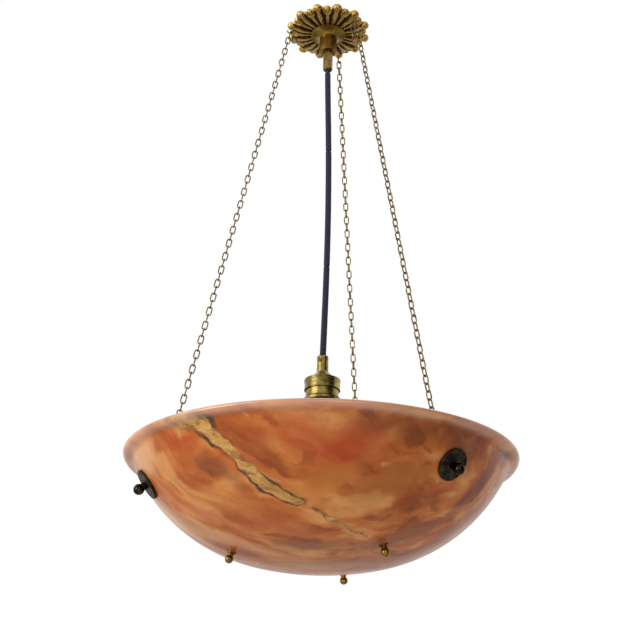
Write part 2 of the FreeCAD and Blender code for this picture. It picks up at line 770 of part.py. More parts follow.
# Spare links sit in the hook beside the chain and lie along it, further in.
hook_centre_drop = S.hook_drop - S.hook_bend
link_width = S.link_inner_width.number + 2 * link_wire
link_step = S.link_inner_length.number + link_wire
perch_reach = (S.hook_bend - wires_apart - S.cord_gap).number
perch_tilt = math.radians(S.perch_angle.number)
for side, amount in (("left", S.spare_left.number), ("right", S.spare_right.number)):
    azimuth = AZIMUTHS[side]
    hook_point, downward, top_wire = chain_places[side]
    perch = point_out(azimuth, S.hook_circle.number - perch_reach * math.sin(perch_tilt),
                      -hook_centre_drop.number - perch_reach * math.cos(perch_tilt))
    inward = facing(azimuth).multVec(SIDE).cross(downward).normalize()
    beside = top_wire + inward * (link_width + S.spare_gap.number)
    offset = beside - perch
    along = offset.dot(downward)
    reach = math.sqrt(along ** 2 - offset.dot(offset) + link_step ** 2) - along
    meet = beside + downward * reach
    first = link_row(perch, (meet - perch).normalize(), 1, 0, azimuth, True)
    start = meet - downward * (link_wire + S.link_slack.number + S.spare_gap.number)
    spacing = S.link_inner_length.number - S.link_slack.number
    rest = link_row(start, downward, int(amount) - 1, spacing, azimuth, False)
    link_node(f"spare_top_link_{side}", first)
    link_node(f"spare_links_{side}", rest)

# ---------------------------------------------------------------------- chain hooks


def chain_hook(side, azimuth):
    """Open hook bent from wire in the radial plane, with a shouldered stem."""
    upright = Rotation(Vector(1, 0, 0), 90)
    bend = ring(f"hook_bend_{side}", S.hook_bend, S.hook_wire / 2,
                at(rotation=upright * Rotation(UP, 90)), S.hook_sweep)
    stem = cylinder(f"hook_stem_{side}", S.hook_wire / 2, S.hook_shank, at(z=S.hook_bend))
    knee = sphere(f"hook_knee_{side}", S.hook_wire / 2, at(z=S.hook_bend))
    tip_angle = math.radians(90 + S.hook_sweep.number)
    tip = sphere(f"hook_tip_{side}", S.hook_tip_radius,
                 at(S.hook_bend * math.cos(tip_angle), 0, S.hook_bend * math.sin(tip_angle)))
    shoulder = cylinder(f"hook_shoulder_{side}", S.hook_collar_radius, S.hook_collar_height,
                        at(z=S.hook_bend + S.hook_wire))
    hook = fused(f"hook_{side}_body", [bend, stem, knee, tip, shoulder])
    hook.Placement = outward(azimuth, S.hook_circle.number, -hook_centre_drop.number)
    node(f"hook_{side}", hook)


for side, azimuth in AZIMUTHS.items():
    chain_hook(side, azimuth)

# --------------------------------------------------------------------- ceiling rose
rose_floor = S.rose_depth - S.rose_wall
rose_dish = turned("rose_dish", [
    (0, -S.rose_depth),
    (S.rose_centre_radius, -S.rose_depth),
    (S.rose_rim_radius, -S.rose_rim_depth, S.rose_bend),
    (S.rose_foot_radius, 0),
    (0, 0),
])


def ellipse_wire(radius, height, half_width, half_height):
    """Section across a leaf, standing square to its length."""
    if half_width >= half_height:
        curve = Part.Ellipse(ORIGIN, half_width, half_height)
        spin = Rotation(ORIGIN + UP, 0)
    else:
        curve = Part.Ellipse(ORIGIN, half_height, half_width)
        spin = Rotation(UP, 90)
    wire = Part.Wire(curve.toShape())
    stand = Rotation(Vector(0, 1, 0), Vector(0, 0, 1), Vector(1, 0, 0), "XYZ")
    wire.Placement = Placement(Vector(radius, 0, height), stand * spin)
    return wire


# Shares of a leaf's length, width and thickness, from its root to its tip.
LEAF_SECTIONS = [
    (0.0, 0.45, 0.8), (0.3, 0.6, 0.9), (0.62, 1.0, 1.0), (0.85, 0.72, 0.85), (1.0, 0.2, 0.35)]
BUD_ALONG = 0.7


def leaf_blade(tip_radius, share):
    """One leaf along local X: slim root, broad middle, blunt upturned tip."""
    root_radius = S.leaf_root_radius.number
    width = S.leaf_half_width.number * share
    thick = S.leaf_half_height.number * share
    high = -S.leaf_root_depth.number
    low = -S.leaf_tip_depth.number
    length = tip_radius - root_radius
    sections = []
    for along, across, deep in LEAF_SECTIONS:
        height = high + (low - high) * along
        sections.append(ellipse_wire(root_radius + length * along, height, width * across, thick * deep))
    return Part.makeLoft(sections, True, False)


def leaf_bud(tip_radius, share):
    root_radius = S.leaf_root_radius.number
    high = -S.leaf_root_depth.number
    low = -S.leaf_tip_depth.number
    centre = Vector(root_radius + (tip_radius - root_radius) * BUD_ALONG, 0,
                    high + (low - high) * BUD_ALONG - S.bud_drop.number * share)
    return Part.makeSphere(S.bud_radius.number * share, centre)


def leaf_ring():
    """All leaves of the casting, large ones at the hooks and small ones between."""
    count = int(S.leaf_count.number)
    step = 360 / count
    leaves = []
    for number in range(count * 2):
        large = number % 2 == 0
        share = 1 if large else S.small_leaf_share.number
        tip = S.leaf_tip_radius.number if large else S.small_tip_radius.number
        turn = outward(S.first_azimuth.number + number * step / 2, 0, 0).toMatrix()
        for piece in (leaf_blade(tip, share), leaf_bud(tip, share)):
            leaves.append(piece.transformed(turn))
    return leaves[0].multiFuse(leaves[1:])


leaf_crown = doc.addObject("Part::Feature", "leaf_crown")
leaf_crown.Shape = leaf_ring()
leaf_crown.Placement = Placement()

rose_hollow = turned("rose_hollow", [
    (0, -rose_floor),
    (S.rose_centre_radius + S.rose_wall, -rose_floor),
    (S.rose_hollow_radius, -S.rose_hollow_depth),
    (S.rose_hollow_radius, 0),
    (0, 0),
])
nipple_hole = S.nipple_radius + S.thread_gap
rose_bore = cylinder("rose_bore", nipple_hole, S.rose_depth + S.drill_over,
                     at(z=-S.rose_depth - S.drill_over))
hook_holes = [
    cylinder(f"hook_hole_{side}", S.hook_wire / 2 + S.thread_gap,
             S.hook_shank + S.seat_gap,
             outward(azimuth, S.hook_circle.number, -hook_centre_drop.number + S.hook_bend.number))
    for side, azimuth in AZIMUTHS.items()
]
shoulder_rooms = [
    cylinder(f"hook_room_{side}", S.hook_collar_radius + S.thread_gap,
             S.hook_collar_height + S.hook_wire + S.seat_gap,
             outward(azimuth, S.hook_circle.number, -hook_centre_drop.number + S.hook_bend.number))
    for side, azimuth in AZIMUTHS.items()
]
rose = cut("rose", fused("rose_casting", [rose_dish, leaf_crown]),
           [rose_hollow, rose_bore] + hook_holes + shoulder_rooms)
node("ceiling_rose", rose)

# ------------------------------------------- strap, nipple and nuts inside the rose
nut_seat = rose_floor - S.seat_gap
strap_foot_level = nut_seat - S.nut_height - S.seat_gap
strap_middle = strap_foot_level - S.strap_height
strap_knee = S.strap_reach - S.strap_foot
strap_blank = padded("strap_blank", [
    (-S.strap_reach, 0),
    (-S.strap_reach, -S.strap_height),
    (-strap_knee, -S.strap_height),
    (-S.strap_bridge, -strap_foot_level),
    (S.strap_bridge, -strap_foot_level),
    (strap_knee, -S.strap_height),
    (S.strap_reach, -S.strap_height),
    (S.strap_reach, 0),
    (strap_knee - S.strap_height / 2, 0),
    (S.strap_bridge - S.strap_height / 2, -strap_middle),
    (S.strap_height / 2 - S.strap_bridge, -strap_middle),
    (S.strap_height / 2 - strap_knee, 0),
], S.strap_width, role="XZ_Plane", midplane=True)
strap_drills = [cylinder("strap_bore", nipple_hole, S.rose_depth, at(z=-S.rose_depth))]
for sign in (-1, 1):
    strap_drills.append(cylinder(
        f"strap_screw_hole_{'left' if sign < 0 else 'right'}", S.screw_hole_radius,
        S.strap_height + S.drill_over * 2,
        at(sign * S.screw_spacing / 2, 0, -S.strap_height - S.drill_over)))
node("mounting_strap", cut("strap", strap_blank, strap_drills))

node("threaded_nipple", turned("nipple", [
    (S.nipple_bore, -S.nipple_foot), (S.nipple_radius, -S.nipple_foot),
    (S.nipple_radius, -S.nipple_top), (S.nipple_bore, -S.nipple_top)]))


def large_nut(label, underside):
    blank = hexagon(label + "_blank", S.nut_radius, S.nut_height)
    nut = cut(label + "_nut", blank, [cylinder(label + "_bore", nipple_hole, S.nut_height)])
    nut.Placement = at(z=-underside)
    node(label, nut)


large_nut("rose_lock_nut", nut_seat)
large_nut("strap_nut", strap_middle - S.seat_gap)

# ---------------------------------------------------- centre boss, ferrule and gland
socket_top = S.boss_foot - S.boss_socket_depth
boss_seat = S.rose_depth + S.seat_gap
socket_radius = S.ferrule_radius + S.thread_gap
node("centre_boss", turned("boss", [
    (nipple_hole, -boss_seat),
    (nipple_hole, -socket_top),
    (socket_radius, -socket_top),
    (socket_radius, -S.boss_foot),
    (S.boss_radius - S.boss_chamfer, -S.boss_foot),
    (S.boss_radius, S.boss_chamfer - S.boss_foot),
    (S.boss_radius, -boss_seat - S.boss_flare),
    (S.boss_flange_radius, -boss_seat - S.boss_edge, -S.boss_flare_bend),
    (S.boss_flange_radius, -boss_seat),
]))
ferrule_top = socket_top + S.seat_gap
gland_top = S.ferrule_foot - S.gland_height
cord_bore = S.cord_radius + S.thread_gap * 2
node("cord_ferrule", turned("ferrule", [
    (cord_bore, -ferrule_top),
    (cord_bore, -gland_top + S.gland_stop),
    (S.ferrule_bore, -gland_top + S.gland_stop),
    (S.ferrule_bore, -S.ferrule_foot),
    (S.ferrule_radius - S.ferrule_chamfer, -S.ferrule_foot),
    (S.ferrule_radius, S.ferrule_taper - S.ferrule_foot),
    (S.ferrule_radius, -ferrule_top),
]))
gland_outside = S.ferrule_bore - S.thread_gap
node("ferrule_gland", turned("gland", [
    (S.gland_bore, -gland_top), (gland_outside, -gland_top),
    (gland_outside, -S.ferrule_foot), (S.gland_bore, -S.ferrule_foot)]))


# ------------------------------------------------------------------ cord and wiring
RUN_SHARE = 0.45


def routed_tube(points, radius, bend=None, announce=""):
    """Tube along straight runs joined by tangent arcs; each arc fills its runs."""
    points = [Vector(*point) for point in points]
    edges = []
    start = points[0]
    length = 0
    for number in range(1, len(points) - 1):
        before = points[number] - points[number - 1]
        after = points[number + 1] - points[number]
        turn = before.getAngle(after)
        shorter = min(before.Length, after.Length)
        reach = RUN_SHARE * shorter if bend is None else bend * math.tan(turn / 2)
        arc_radius = reach / math.tan(turn / 2)
        enter = points[number] - before.normalize() * reach
        leave = points[number] + after.normalize() * reach
        inwards = (after - before).normalize()
        crown = arc_radius / math.cos(turn / 2) - arc_radius
        edges.append(Part.LineSegment(start, enter).toShape())
        edges.append(Part.Arc(enter, points[number] + inwards * crown, leave).toShape())
        length += (enter - start).Length + arc_radius * turn
        start = leave
        if announce:
            print(announce, "arc radius", round(arc_radius, 1))
    edges.append(Part.LineSegment(start, points[-1]).toShape())
    length += (points[-1] - start).Length
    path = Part.Wire(edges)
    direction = (points[1] - points[0]).normalize()
    section = Part.Wire(Part.Circle(points[0], direction, radius).toShape())
    tube = path.makePipeShell([section], True, True)
    if announce:
        expected = math.pi * radius ** 2 * length
        print(announce, "length", round(length, 1), "volume share", round(tube.Volume / expected, 5))
    return tube


def tube_node(label, tubes):
    feature = doc.addObject("Part::Feature", label + "_tube")
    feature.Shape = tubes[0] if len(tubes) == 1 else Part.makeCompound(tubes)
    feature.Placement = Placement()
    node(label, feature)


cord_top = -(S.ferrule_foot + S.cord_gap).number
cord_foot = -(S.holder_top - S.cord_gap).number
# The flex hangs with a slight bow to the right, as it was wound.
CORD_ROUTE = [
    (0.0, 0.0, cord_top),
    (0.9, 0.0, -112.0),
    (2.2, 0.2, -158.0),
    (3.0, 0.3, -206.0),
    (3.3, 0.3, -256.0),
    (3.0, 0.2, -306.0),
    (2.2, 0.1, -354.0),
    (1.1, 0.0, -400.0),
    (0.0, 0.0, cord_foot),
]
tube_node("flex_cord", [routed_tube(CORD_ROUTE, S.cord_radius.number, announce="cord")])

inner_end = S.nipple_top - S.cord_gap
node("cord_in_rose", turned("cord_stub", [
    (0, -S.ferrule_foot), (S.gland_bore - S.thread_gap, -S.ferrule_foot),
    (S.gland_bore - S.thread_gap, -inner_end), (0, -inner_end)]))

block_front = S.block_offset
block_top = rose_floor - S.seat_gap - S.block_height
block_blank = block("block_blank", S.block_length, S.block_width, S.block_height,
                    at(-S.block_length / 2, block_front, -rose_floor + S.seat_gap))
pole_height = -rose_floor + S.seat_gap + S.block_height / 2 - S.block_floor
pole_places = [number * S.pole_spacing for number in (-1, 0, 1)]
along_y = Rotation(Vector(1, 0, 0), -90)
pole_middle = block_front + S.block_width / 2
pole_bores = []
for number, across in enumerate(pole_places):
    pole_bores.append(cylinder(f"pole_bore_{number}", S.pole_bore, S.block_width,
                               at(across, block_front, pole_height, along_y)))
    pole_bores.append(cylinder(f"pole_screw_bore_{number}", S.pole_screw_radius + S.thread_gap,
                               S.block_height / 2 + S.block_floor, at(across, pole_middle, pole_height)))
node("terminal_block", cut("block", block_blank, pole_bores))
screw_top = -block_top - S.terminal_sink
node("terminal_screws", copies(
    "terminal_screws", cylinder("terminal_screw", S.pole_screw_radius, S.pole_screw_height),
    [at(across, pole_middle, screw_top - S.pole_screw_height) for across in pole_places]))

core_level = -(S.nipple_top - S.cord_gap).number
core_run = core_level + S.core_rise.number
core_drop_y = (block_front - S.core_stand).number
core_tubes = []
for number, across in enumerate(pole_places):
    start_x = (number - 1) * S.core_spread.number
    entry = [
        (start_x, 0.0, core_level + S.seat_gap.number),
        (start_x, 0.0, core_run),
        (across.number, core_drop_y, core_run),
        (across.number, core_drop_y, pole_height.number),
        (across.number, (pole_middle - S.core_stop).number, pole_height.number),
    ]
    core_tubes.append(routed_tube(entry, S.core_radius.number, S.core_bend.number))
tube_node("rose_cores", core_tubes)

# ---------------------------------------------------------------------- lampholder
holder_frame = at(z=-S.holder_top)
grip_turn = S.grip_azimuth.number
cord_hole = S.cord_radius + S.thread_gap
collar_blank = turned("collar_blank", [
    (cord_hole, -S.collar_height),
    (S.collar_radius, -S.collar_height),
    (S.collar_radius, -S.collar_round),
    (S.collar_radius - S.collar_round, 0, S.collar_round),
    (cord_hole, 0),
])
grip_out = Rotation(SIDE, 90)
grip_hole = cylinder("grip_hole", S.grip_screw_radius + S.thread_gap, S.collar_radius * 2,
                     outward(grip_turn, 0, -S.grip_screw_depth.number, grip_out))
collar = cut("collar", collar_blank, [grip_hole])
collar.Placement = holder_frame
node("cord_grip_collar", collar)

grip_start = S.cord_radius + S.thread_gap * 2
grip_head_height = S.grip_head_radius / 2
grip_head = S.collar_radius
grip_blank = turned("grip_screw_blank", [
    (0, grip_start), (S.grip_screw_radius, grip_start), (S.grip_screw_radius, grip_head),
    (S.grip_head_radius, grip_head), (S.grip_head_radius, grip_head + grip_head_height),
    (0, grip_head + grip_head_height)])
slot_base = grip_head + grip_head_height / 2
slot = block("grip_slot", S.grip_head_radius * 2, S.grip_slot, grip_head_height,
             at(-S.grip_head_radius, -S.grip_slot / 2, slot_base))
grip = cut("grip", grip_blank, [slot])
grip.Placement = outward(grip_turn, 0, -(S.holder_top + S.grip_screw_depth).number, grip_out)
node("grip_screw", grip)

neck_top = S.collar_height + S.seat_gap
bead = S.cap_bead
shoulder_in = S.cap_radius - S.cap_wall
node("lampholder_cap", turned("cap", [
    (cord_hole, -neck_top),
    (cord_hole, -neck_top - S.cap_thread),
    (S.neck_radius - S.cap_wall, -neck_top - S.cap_thread),
    (S.neck_radius - S.cap_wall, -S.neck_foot - S.cap_wall),
    (shoulder_in, -S.shoulder_foot - S.cap_wall, S.cap_shoulder_bend + S.cap_wall),
    (shoulder_in, -S.cap_foot),
    (S.cap_radius, -S.cap_foot),
    (S.cap_radius, bead - S.cap_foot),
    (S.cap_radius - bead / 2, bead * 1.6 - S.cap_foot, bead * 1.5),
    (S.cap_radius - bead / 2, -S.shoulder_foot - bead * 5),
    (S.cap_radius, -S.shoulder_foot - bead * 4, bead),
    (S.cap_radius - bead / 2, -S.shoulder_foot - bead * 3, bead),
    (S.cap_radius - bead / 2, -S.shoulder_foot - bead * 2),
    (S.cap_radius, -S.shoulder_foot - bead, bead),
    (S.cap_radius - bead, -S.shoulder_foot, bead),
    (S.neck_radius, -S.neck_foot, -S.cap_shoulder_bend),
    (S.neck_radius, -neck_top),
], holder_frame))

# The sleeve hangs in the cap, carries the shade rings and holds the socket tube.
sleeve_inside = S.sleeve_radius - S.sleeve_wall
sleeve_top = S.insulator_top + S.insulator_flange_height + S.seat_gap
sleeve_blank = turned("sleeve_blank", [
    (sleeve_inside, -sleeve_top),
    (sleeve_inside, -S.sleeve_neck),
    (S.socket_bore, -S.sleeve_neck),
    (S.socket_bore, -S.socket_foot),
    (S.socket_radius + bead, -S.socket_foot),
    (S.socket_radius + bead, bead * 2 - S.socket_foot),
    (S.socket_radius, bead * 3 - S.socket_foot),
    (S.socket_radius, -S.sleeve_neck - S.sleeve_wall * 2),
    (S.sleeve_radius, -S.sleeve_neck - S.sleeve_wall, S.sleeve_radius),
    (S.sleeve_radius, -sleeve_top),
])
lamp_top = S.insulator_foot + S.plunger_reach + S.contact_height
pin_level = lamp_top + S.lamp_pin_drop
slot_width = (S.lamp_pin_radius + S.pin_slot_gap) * 2
slot_top = pin_level - S.lamp_pin_radius - S.push_travel - S.pin_slot_gap
pocket_foot = pin_level + S.lamp_pin_radius + S.seat_gap
slot_start = S.socket_bore - S.sleeve_wall
slot_reach = S.socket_radius + bead * 2
pin_slots = []
for side, turn in (("right", 0), ("left", 180)):
    # A pin goes up the open slot, turns across under the step and drops into its pocket.
    pocket = Placement(ORIGIN, Rotation(UP, turn))
    entry = Placement(ORIGIN, Rotation(UP, turn + S.slot_turn.number))
    pin_slots.append(block(f"pin_pocket_{side}", slot_reach - slot_start, slot_width,
                           pocket_foot - slot_top,
                           pocket * at(slot_start, -slot_width / 2, -pocket_foot)))
    pin_slots.append(block(f"pin_entry_{side}", slot_reach - slot_start, slot_width,
                           S.socket_foot - slot_top + S.sleeve_wall,
                           entry * at(slot_start, -slot_width / 2,
                                      -S.socket_foot - S.sleeve_wall)))
    crossing = cylinder(f"pin_crossing_{side}", slot_reach, slot_width,
                        pocket * at(z=-slot_top - slot_width))
    bind(crossing, Angle=S.slot_turn)
    pin_slots.append(crossing)
sleeve = cut("sleeve", sleeve_blank, pin_slots)
sleeve.Placement = holder_frame
node("holder_sleeve", sleeve)

ring_bore = S.socket_radius + S.thread_gap
first_ring = S.sleeve_neck + S.sleeve_wall * 2 + S.seat_gap + S.ring_height
ring_tops = [first_ring, first_ring + S.ring_height + S.ring_gap]
shade_ring = turned("shade_ring", [
    (ring_bore, 0), (S.ring_radius - bead, 0), (S.ring_radius, bead),
    (S.ring_radius, S.ring_height - bead), (S.ring_radius - bead, S.ring_height), (ring_bore, S.ring_height)])
node("shade_rings", copies("shade_rings", shade_ring, [
    at(z=-S.holder_top - ring_top) for ring_top in ring_tops]))

# Ceramic insert with two sprung contacts.
insulator_blank = turned("insulator_blank", [
    (0, -S.insulator_top),
    (0, -S.insulator_foot),
    (S.insulator_radius, -S.insulator_foot),
    (S.insulator_radius, -S.insulator_top - S.insulator_flange_height),
    (S.insulator_flange, -S.insulator_top - S.insulator_flange_height),
    (S.insulator_flange, -S.insulator_top),
])
plunger_hole = S.plunger_radius + S.plunger_fit
bore_depth = S.plunger_length + S.plunger_room
insulator_bores = [
    cylinder(f"plunger_bore_{'left' if sign < 0 else 'right'}", plunger_hole, bore_depth,
             at(sign * S.plunger_spacing / 2, 0, -S.insulator_foot))
    for sign in (-1, 1)
]
insulator = cut("insulator", insulator_blank, insulator_bores)
insulator.Placement = holder_frame
node("ceramic_insert", insulator)

stub_radius = S.cord_radius - S.seat_gap
node("cord_in_holder", cylinder("holder_stub", stub_radius, S.stub_foot,
                                at(z=-S.holder_top - S.stub_foot)))
post_foot = -S.holder_top - S.insulator_top + S.seat_gap
node("holder_terminals", copies(
    "holder_terminals", cylinder("holder_post", S.post_radius, S.post_height),
    [at(sign * S.plunger_spacing / 2, 0, post_foot) for sign in (-1, 1)]))
core_start = -(S.holder_top + S.stub_foot + S.seat_gap).number
core_end = (post_foot + S.post_height + S.seat_gap).number
core_knee = (core_start - core_end) / 4
holder_core_tubes = []
for sign in (-1, 1):
    leave_x = sign * S.core_spread.number / 2
    post_x = sign * S.plunger_spacing.number / 2
    holder_core_tubes.append(routed_tube([
        (leave_x, 0.0, core_start),
        (leave_x, 0.0, core_start - core_knee),
        (post_x, 0.0, core_end + core_knee),
        (post_x, 0.0, core_end),
    ], S.core_radius.number, S.core_bend.number))
tube_node("holder_cores", holder_core_tubes)

plunger_seat = S.holder_top + S.insulator_foot + S.plunger_reach
plunger_places = [at(sign * S.plunger_spacing / 2, 0, -plunger_seat) for sign in (-1, 1)]
plunger_turned = turned("plunger", [
    (0, 0), (S.plunger_radius - S.plunger_tip, 0),
    (S.plunger_radius, S.plunger_tip, S.plunger_tip),
    (S.plunger_radius, S.plunger_length), (0, S.plunger_length)])
node("contact_plungers", copies("contact_plungers", plunger_turned, plunger_places))

spring_bend = S.plunger_radius - S.spring_wire - S.spring_air
spring_height = bore_depth - S.plunger_length + S.plunger_reach
spring_length = spring_height - 2 * S.seat_gap
spring_turned = turned("spring", [
    (spring_bend - S.spring_wire, 0), (spring_bend + S.spring_wire, 0),
    (spring_bend + S.spring_wire, spring_length), (spring_bend - S.spring_wire, spring_length)])
spring_seat = plunger_seat - S.plunger_length - S.seat_gap
node("contact_springs", copies("contact_springs", spring_turned, [
    at(sign * S.plunger_spacing / 2, 0, -spring_seat) for sign in (-1, 1)]))

# ---------------------------------------------------------------------------- lamp
lamp_frame = at(z=-S.holder_top - lamp_top)
cap_inside = S.lamp_cap_radius - S.lamp_cap_wall
cap_lid = S.lamp_cap_wall * 2
lamp_cap_blank = turned("lamp_cap_blank", [
    (S.vitrite_radius, 0),
    (S.lamp_cap_radius - S.cap_edge_round, 0),
    (S.lamp_cap_radius, -S.cap_edge_round, -S.cap_edge_round),
    (S.lamp_cap_radius, -S.lamp_cap_length),
    (cap_inside, -S.lamp_cap_length),
    (cap_inside, -cap_lid),
    (S.vitrite_radius, -cap_lid),
])
pin_rods = []
for sign in (-1, 1):
    pin_turn = Rotation(SIDE, 90 * sign)
    pin_rods.append(cylinder(
        f"lamp_pin_{'left' if sign < 0 else 'right'}", S.lamp_pin_radius,
        S.lamp_pin_reach + S.lamp_cap_wall,
        at(sign * cap_inside, 0, -S.lamp_pin_drop, pin_turn)))
lamp_cap = fused("lamp_cap", [lamp_cap_blank] + pin_rods)
lamp_cap.Placement = lamp_frame
node("bulb_cap", lamp_cap)

vitrite_outside = S.vitrite_radius - S.seat_gap
vitrite_foot = cap_lid + S.lamp_cap_wall * 2
node("bulb_base_insulator", turned("vitrite", [
    (0, -vitrite_foot), (vitrite_outside, -vitrite_foot), (vitrite_outside, 0), (0, 0)], lamp_frame))
pad_place = -S.holder_top - lamp_top + S.seat_gap
node("bulb_contacts", copies(
    "bulb_contacts", turned("solder_pad", [
        (0, 0), (S.contact_radius, 0), (S.contact_radius - S.pad_bevel, S.contact_height - S.seat_gap * 2),
        (0, S.contact_height - S.seat_gap * 2)]),
    [at(sign * S.plunger_spacing / 2, 0, pad_place) for sign in (-1, 1)]))

glass_top = S.lamp_cap_length - S.lamp_stem_hold
glass_stem = cap_inside - S.seat_gap
ball_centre = S.lamp_length - S.lamp_radius
neck_end = S.lamp_cap_length + S.lamp_neck_length
glass_waist = S.lamp_cap_length + S.lamp_waist


def glass_outline(inset):
    """Pear shape of the glass, or its hollow when inset by the wall."""
    ball = S.lamp_radius - inset
    side = root(ball * ball - S.lamp_shoulder * S.lamp_shoulder)
    return [
        (glass_stem - inset, -glass_top - inset),
        (glass_stem - inset, -glass_waist),
        (S.lamp_neck_radius - inset, -neck_end),
        (side, S.lamp_shoulder - ball_centre, S.lamp_shoulder_bend + inset),
        (0, -ball_centre - ball, -ball),
        (0, -glass_top - inset),
    ]


glass_outside = turned("glass_outside", glass_outline(as_size(0)))
glass_inside = turned("glass_inside", glass_outline(S.lamp_wall))
glass = cut("glass", glass_outside, [glass_inside])
glass.Placement = lamp_frame
node("bulb_glass", glass)

# ----------------------------------------------------------------- check and export
doc.recompute()
for shape_object in doc.Objects:
    if "Invalid" in shape_object.State or "Error" in shape_object.State:
        raise RuntimeError("failed: " + shape_object.Name)
for label, shape_object in nodes.items():
    if shape_object.Shape.isNull() or not shape_object.Shape.isValid():
        raise RuntimeError("bad shape: " + label)

os.makedirs("parts", exist_ok=True)
for label, shape_object in nodes.items():
    shape_object.Shape.exportStep(f"parts/{label}.step")
print("pieces", len(nodes), "rim", round(rim_height, 2), "eye radius", round(eye_radius.number, 2))
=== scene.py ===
import json
import math

import bmesh
import bpy
from mathutils import Matrix, Vector


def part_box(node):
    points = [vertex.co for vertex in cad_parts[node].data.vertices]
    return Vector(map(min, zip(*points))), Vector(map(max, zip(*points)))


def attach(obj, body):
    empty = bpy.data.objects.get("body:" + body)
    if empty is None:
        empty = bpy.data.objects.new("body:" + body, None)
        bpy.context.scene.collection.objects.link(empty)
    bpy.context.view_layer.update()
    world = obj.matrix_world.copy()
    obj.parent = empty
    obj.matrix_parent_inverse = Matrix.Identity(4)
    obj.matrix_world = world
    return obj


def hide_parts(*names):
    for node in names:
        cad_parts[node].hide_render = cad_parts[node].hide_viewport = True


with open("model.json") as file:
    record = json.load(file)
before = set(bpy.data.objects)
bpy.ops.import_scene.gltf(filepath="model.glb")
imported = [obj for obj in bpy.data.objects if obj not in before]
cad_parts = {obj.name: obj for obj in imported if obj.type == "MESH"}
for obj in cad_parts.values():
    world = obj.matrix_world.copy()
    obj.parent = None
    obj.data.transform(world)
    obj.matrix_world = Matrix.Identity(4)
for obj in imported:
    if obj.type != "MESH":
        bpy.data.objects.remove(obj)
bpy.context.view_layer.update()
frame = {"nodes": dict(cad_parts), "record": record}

scene = bpy.context.scene
scene.view_settings.view_transform = "Standard"

# ------------------------------------------------------------------------ camera
# The photograph was taken from about a metre in front and below the bowl's rim,
# looking up, so the underside of the stone fills the lower half of the frame.
PHOTO_WIDTH = 640
FOCAL_LENGTH = 1073.05          # in pixels of the photograph
SENSOR = 36.0
CAMERA_REACH = 1.06489          # in front of the pendant's axis
CAMERA_BELOW_RIM = 0.30644
PITCH, YAW, ROLL = (math.radians(angle) for angle in (23.64, -0.20, 1.06))

bowl_low, bowl_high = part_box("alabaster_bowl")
rim_height = bowl_high.z

camera = bpy.data.objects.new("camera", bpy.data.cameras.new("camera"))
camera.data.sensor_width = SENSOR
camera.data.lens = FOCAL_LENGTH / PHOTO_WIDTH * SENSOR
camera.data.clip_start = 0.01
camera.matrix_world = (
    Matrix.Translation((0, -CAMERA_REACH, rim_height - CAMERA_BELOW_RIM))
    @ Matrix.Rotation(-YAW, 4, "Z")
    @ Matrix.Rotation(math.radians(90) + PITCH, 4, "X")
    @ Matrix.Rotation(ROLL, 4, "Z"))
scene.collection.objects.link(camera)
scene.camera = camera


# --------------------------------------------------------------- studio and light
# A bright white room: pale floor far below, a large soft window on the left, a weak
# one in front, and a black card on the right that only the metal's reflections see.
def linear(colour, alpha=1.0):
    """An sRGB hex colour as the linear values that a shader takes."""
    channels = []
    for start in (0, 2, 4):
        value = int(colour[start:start + 2], 16) / 255
        dark = value <= 0.04045
        channels.append(value / 12.92 if dark else ((value + 0.055) / 1.055) ** 2.4)
    return (*channels, alpha)


def add(tree, kind, inputs=None, stops=None, **settings):
    """Adds a node. Inputs are numbers, colours or sockets; stops are a ramp's colours."""
    node = tree.nodes.new("ShaderNode" + kind)
    for name, value in settings.items():
        setattr(node, name, value)
    for name, value in (inputs or {}).items():
        if isinstance(value, bpy.types.NodeSocket):
            tree.links.new(value, node.inputs[name])
        else:
            node.inputs[name].default_value = value
    if stops:
        ramp = node.color_ramp.elements
        while len(ramp) < len(stops):
            ramp.new(0.5)
        for element, (position, colour) in zip(ramp, stops):
            element.position = position
            element.color = colour
    return node


def new_material(name):
    """A node material, its tree and its Principled shader."""
    material = bpy.data.materials.new(name)
    material.use_nodes = True
    tree = material.node_tree
    return material, tree, tree.nodes["Principled BSDF"]


ROOM_LIGHT = 0.54
FLOOR_DROP = 1.3                # floor below the bowl
FLOOR_SIZE = 9.0

world = bpy.data.worlds.new("white_room")
scene.world = world
world.use_nodes = True
world_tree = world.node_tree
world_tree.nodes.clear()
path = add(world_tree, "LightPath")
seen = add(world_tree, "Math", {0: path.outputs["Is Camera Ray"], 1: path.outputs["Is Glossy Ray"]},
           operation="MAXIMUM")
seen = add(world_tree, "Math", {0: seen.outputs[0], 1: path.outputs["Is Transmission Ray"]},
           operation="MAXIMUM")
strength = add(world_tree, "MapRange", {"Value": seen.outputs[0], "To Min": ROOM_LIGHT, "To Max": 1.0})
white = add(world_tree, "Background", {"Color": linear("FFFFFF"), "Strength": strength.outputs[0]})
add(world_tree, "OutputWorld", {"Surface": white.outputs[0]})

floor_mesh = bmesh.new()
bmesh.ops.create_grid(floor_mesh, x_segments=4, y_segments=4, size=FLOOR_SIZE,
                      matrix=Matrix.Translation((0, 0, bowl_low.z - FLOOR_DROP)))
floor_data = bpy.data.meshes.new("studio_floor")
floor_mesh.to_mesh(floor_data)
floor_mesh.free()
floor = bpy.data.objects.new("studio_floor", floor_data)
scene.collection.objects.link(floor)
floor_finish, _, floor_shader = new_material("pale_painted_floor")
floor_shader.inputs["Base Color"].default_value = linear("E9E8E6")
floor_shader.inputs["Roughness"].default_value = 0.7
floor_data.materials.append(floor_finish)


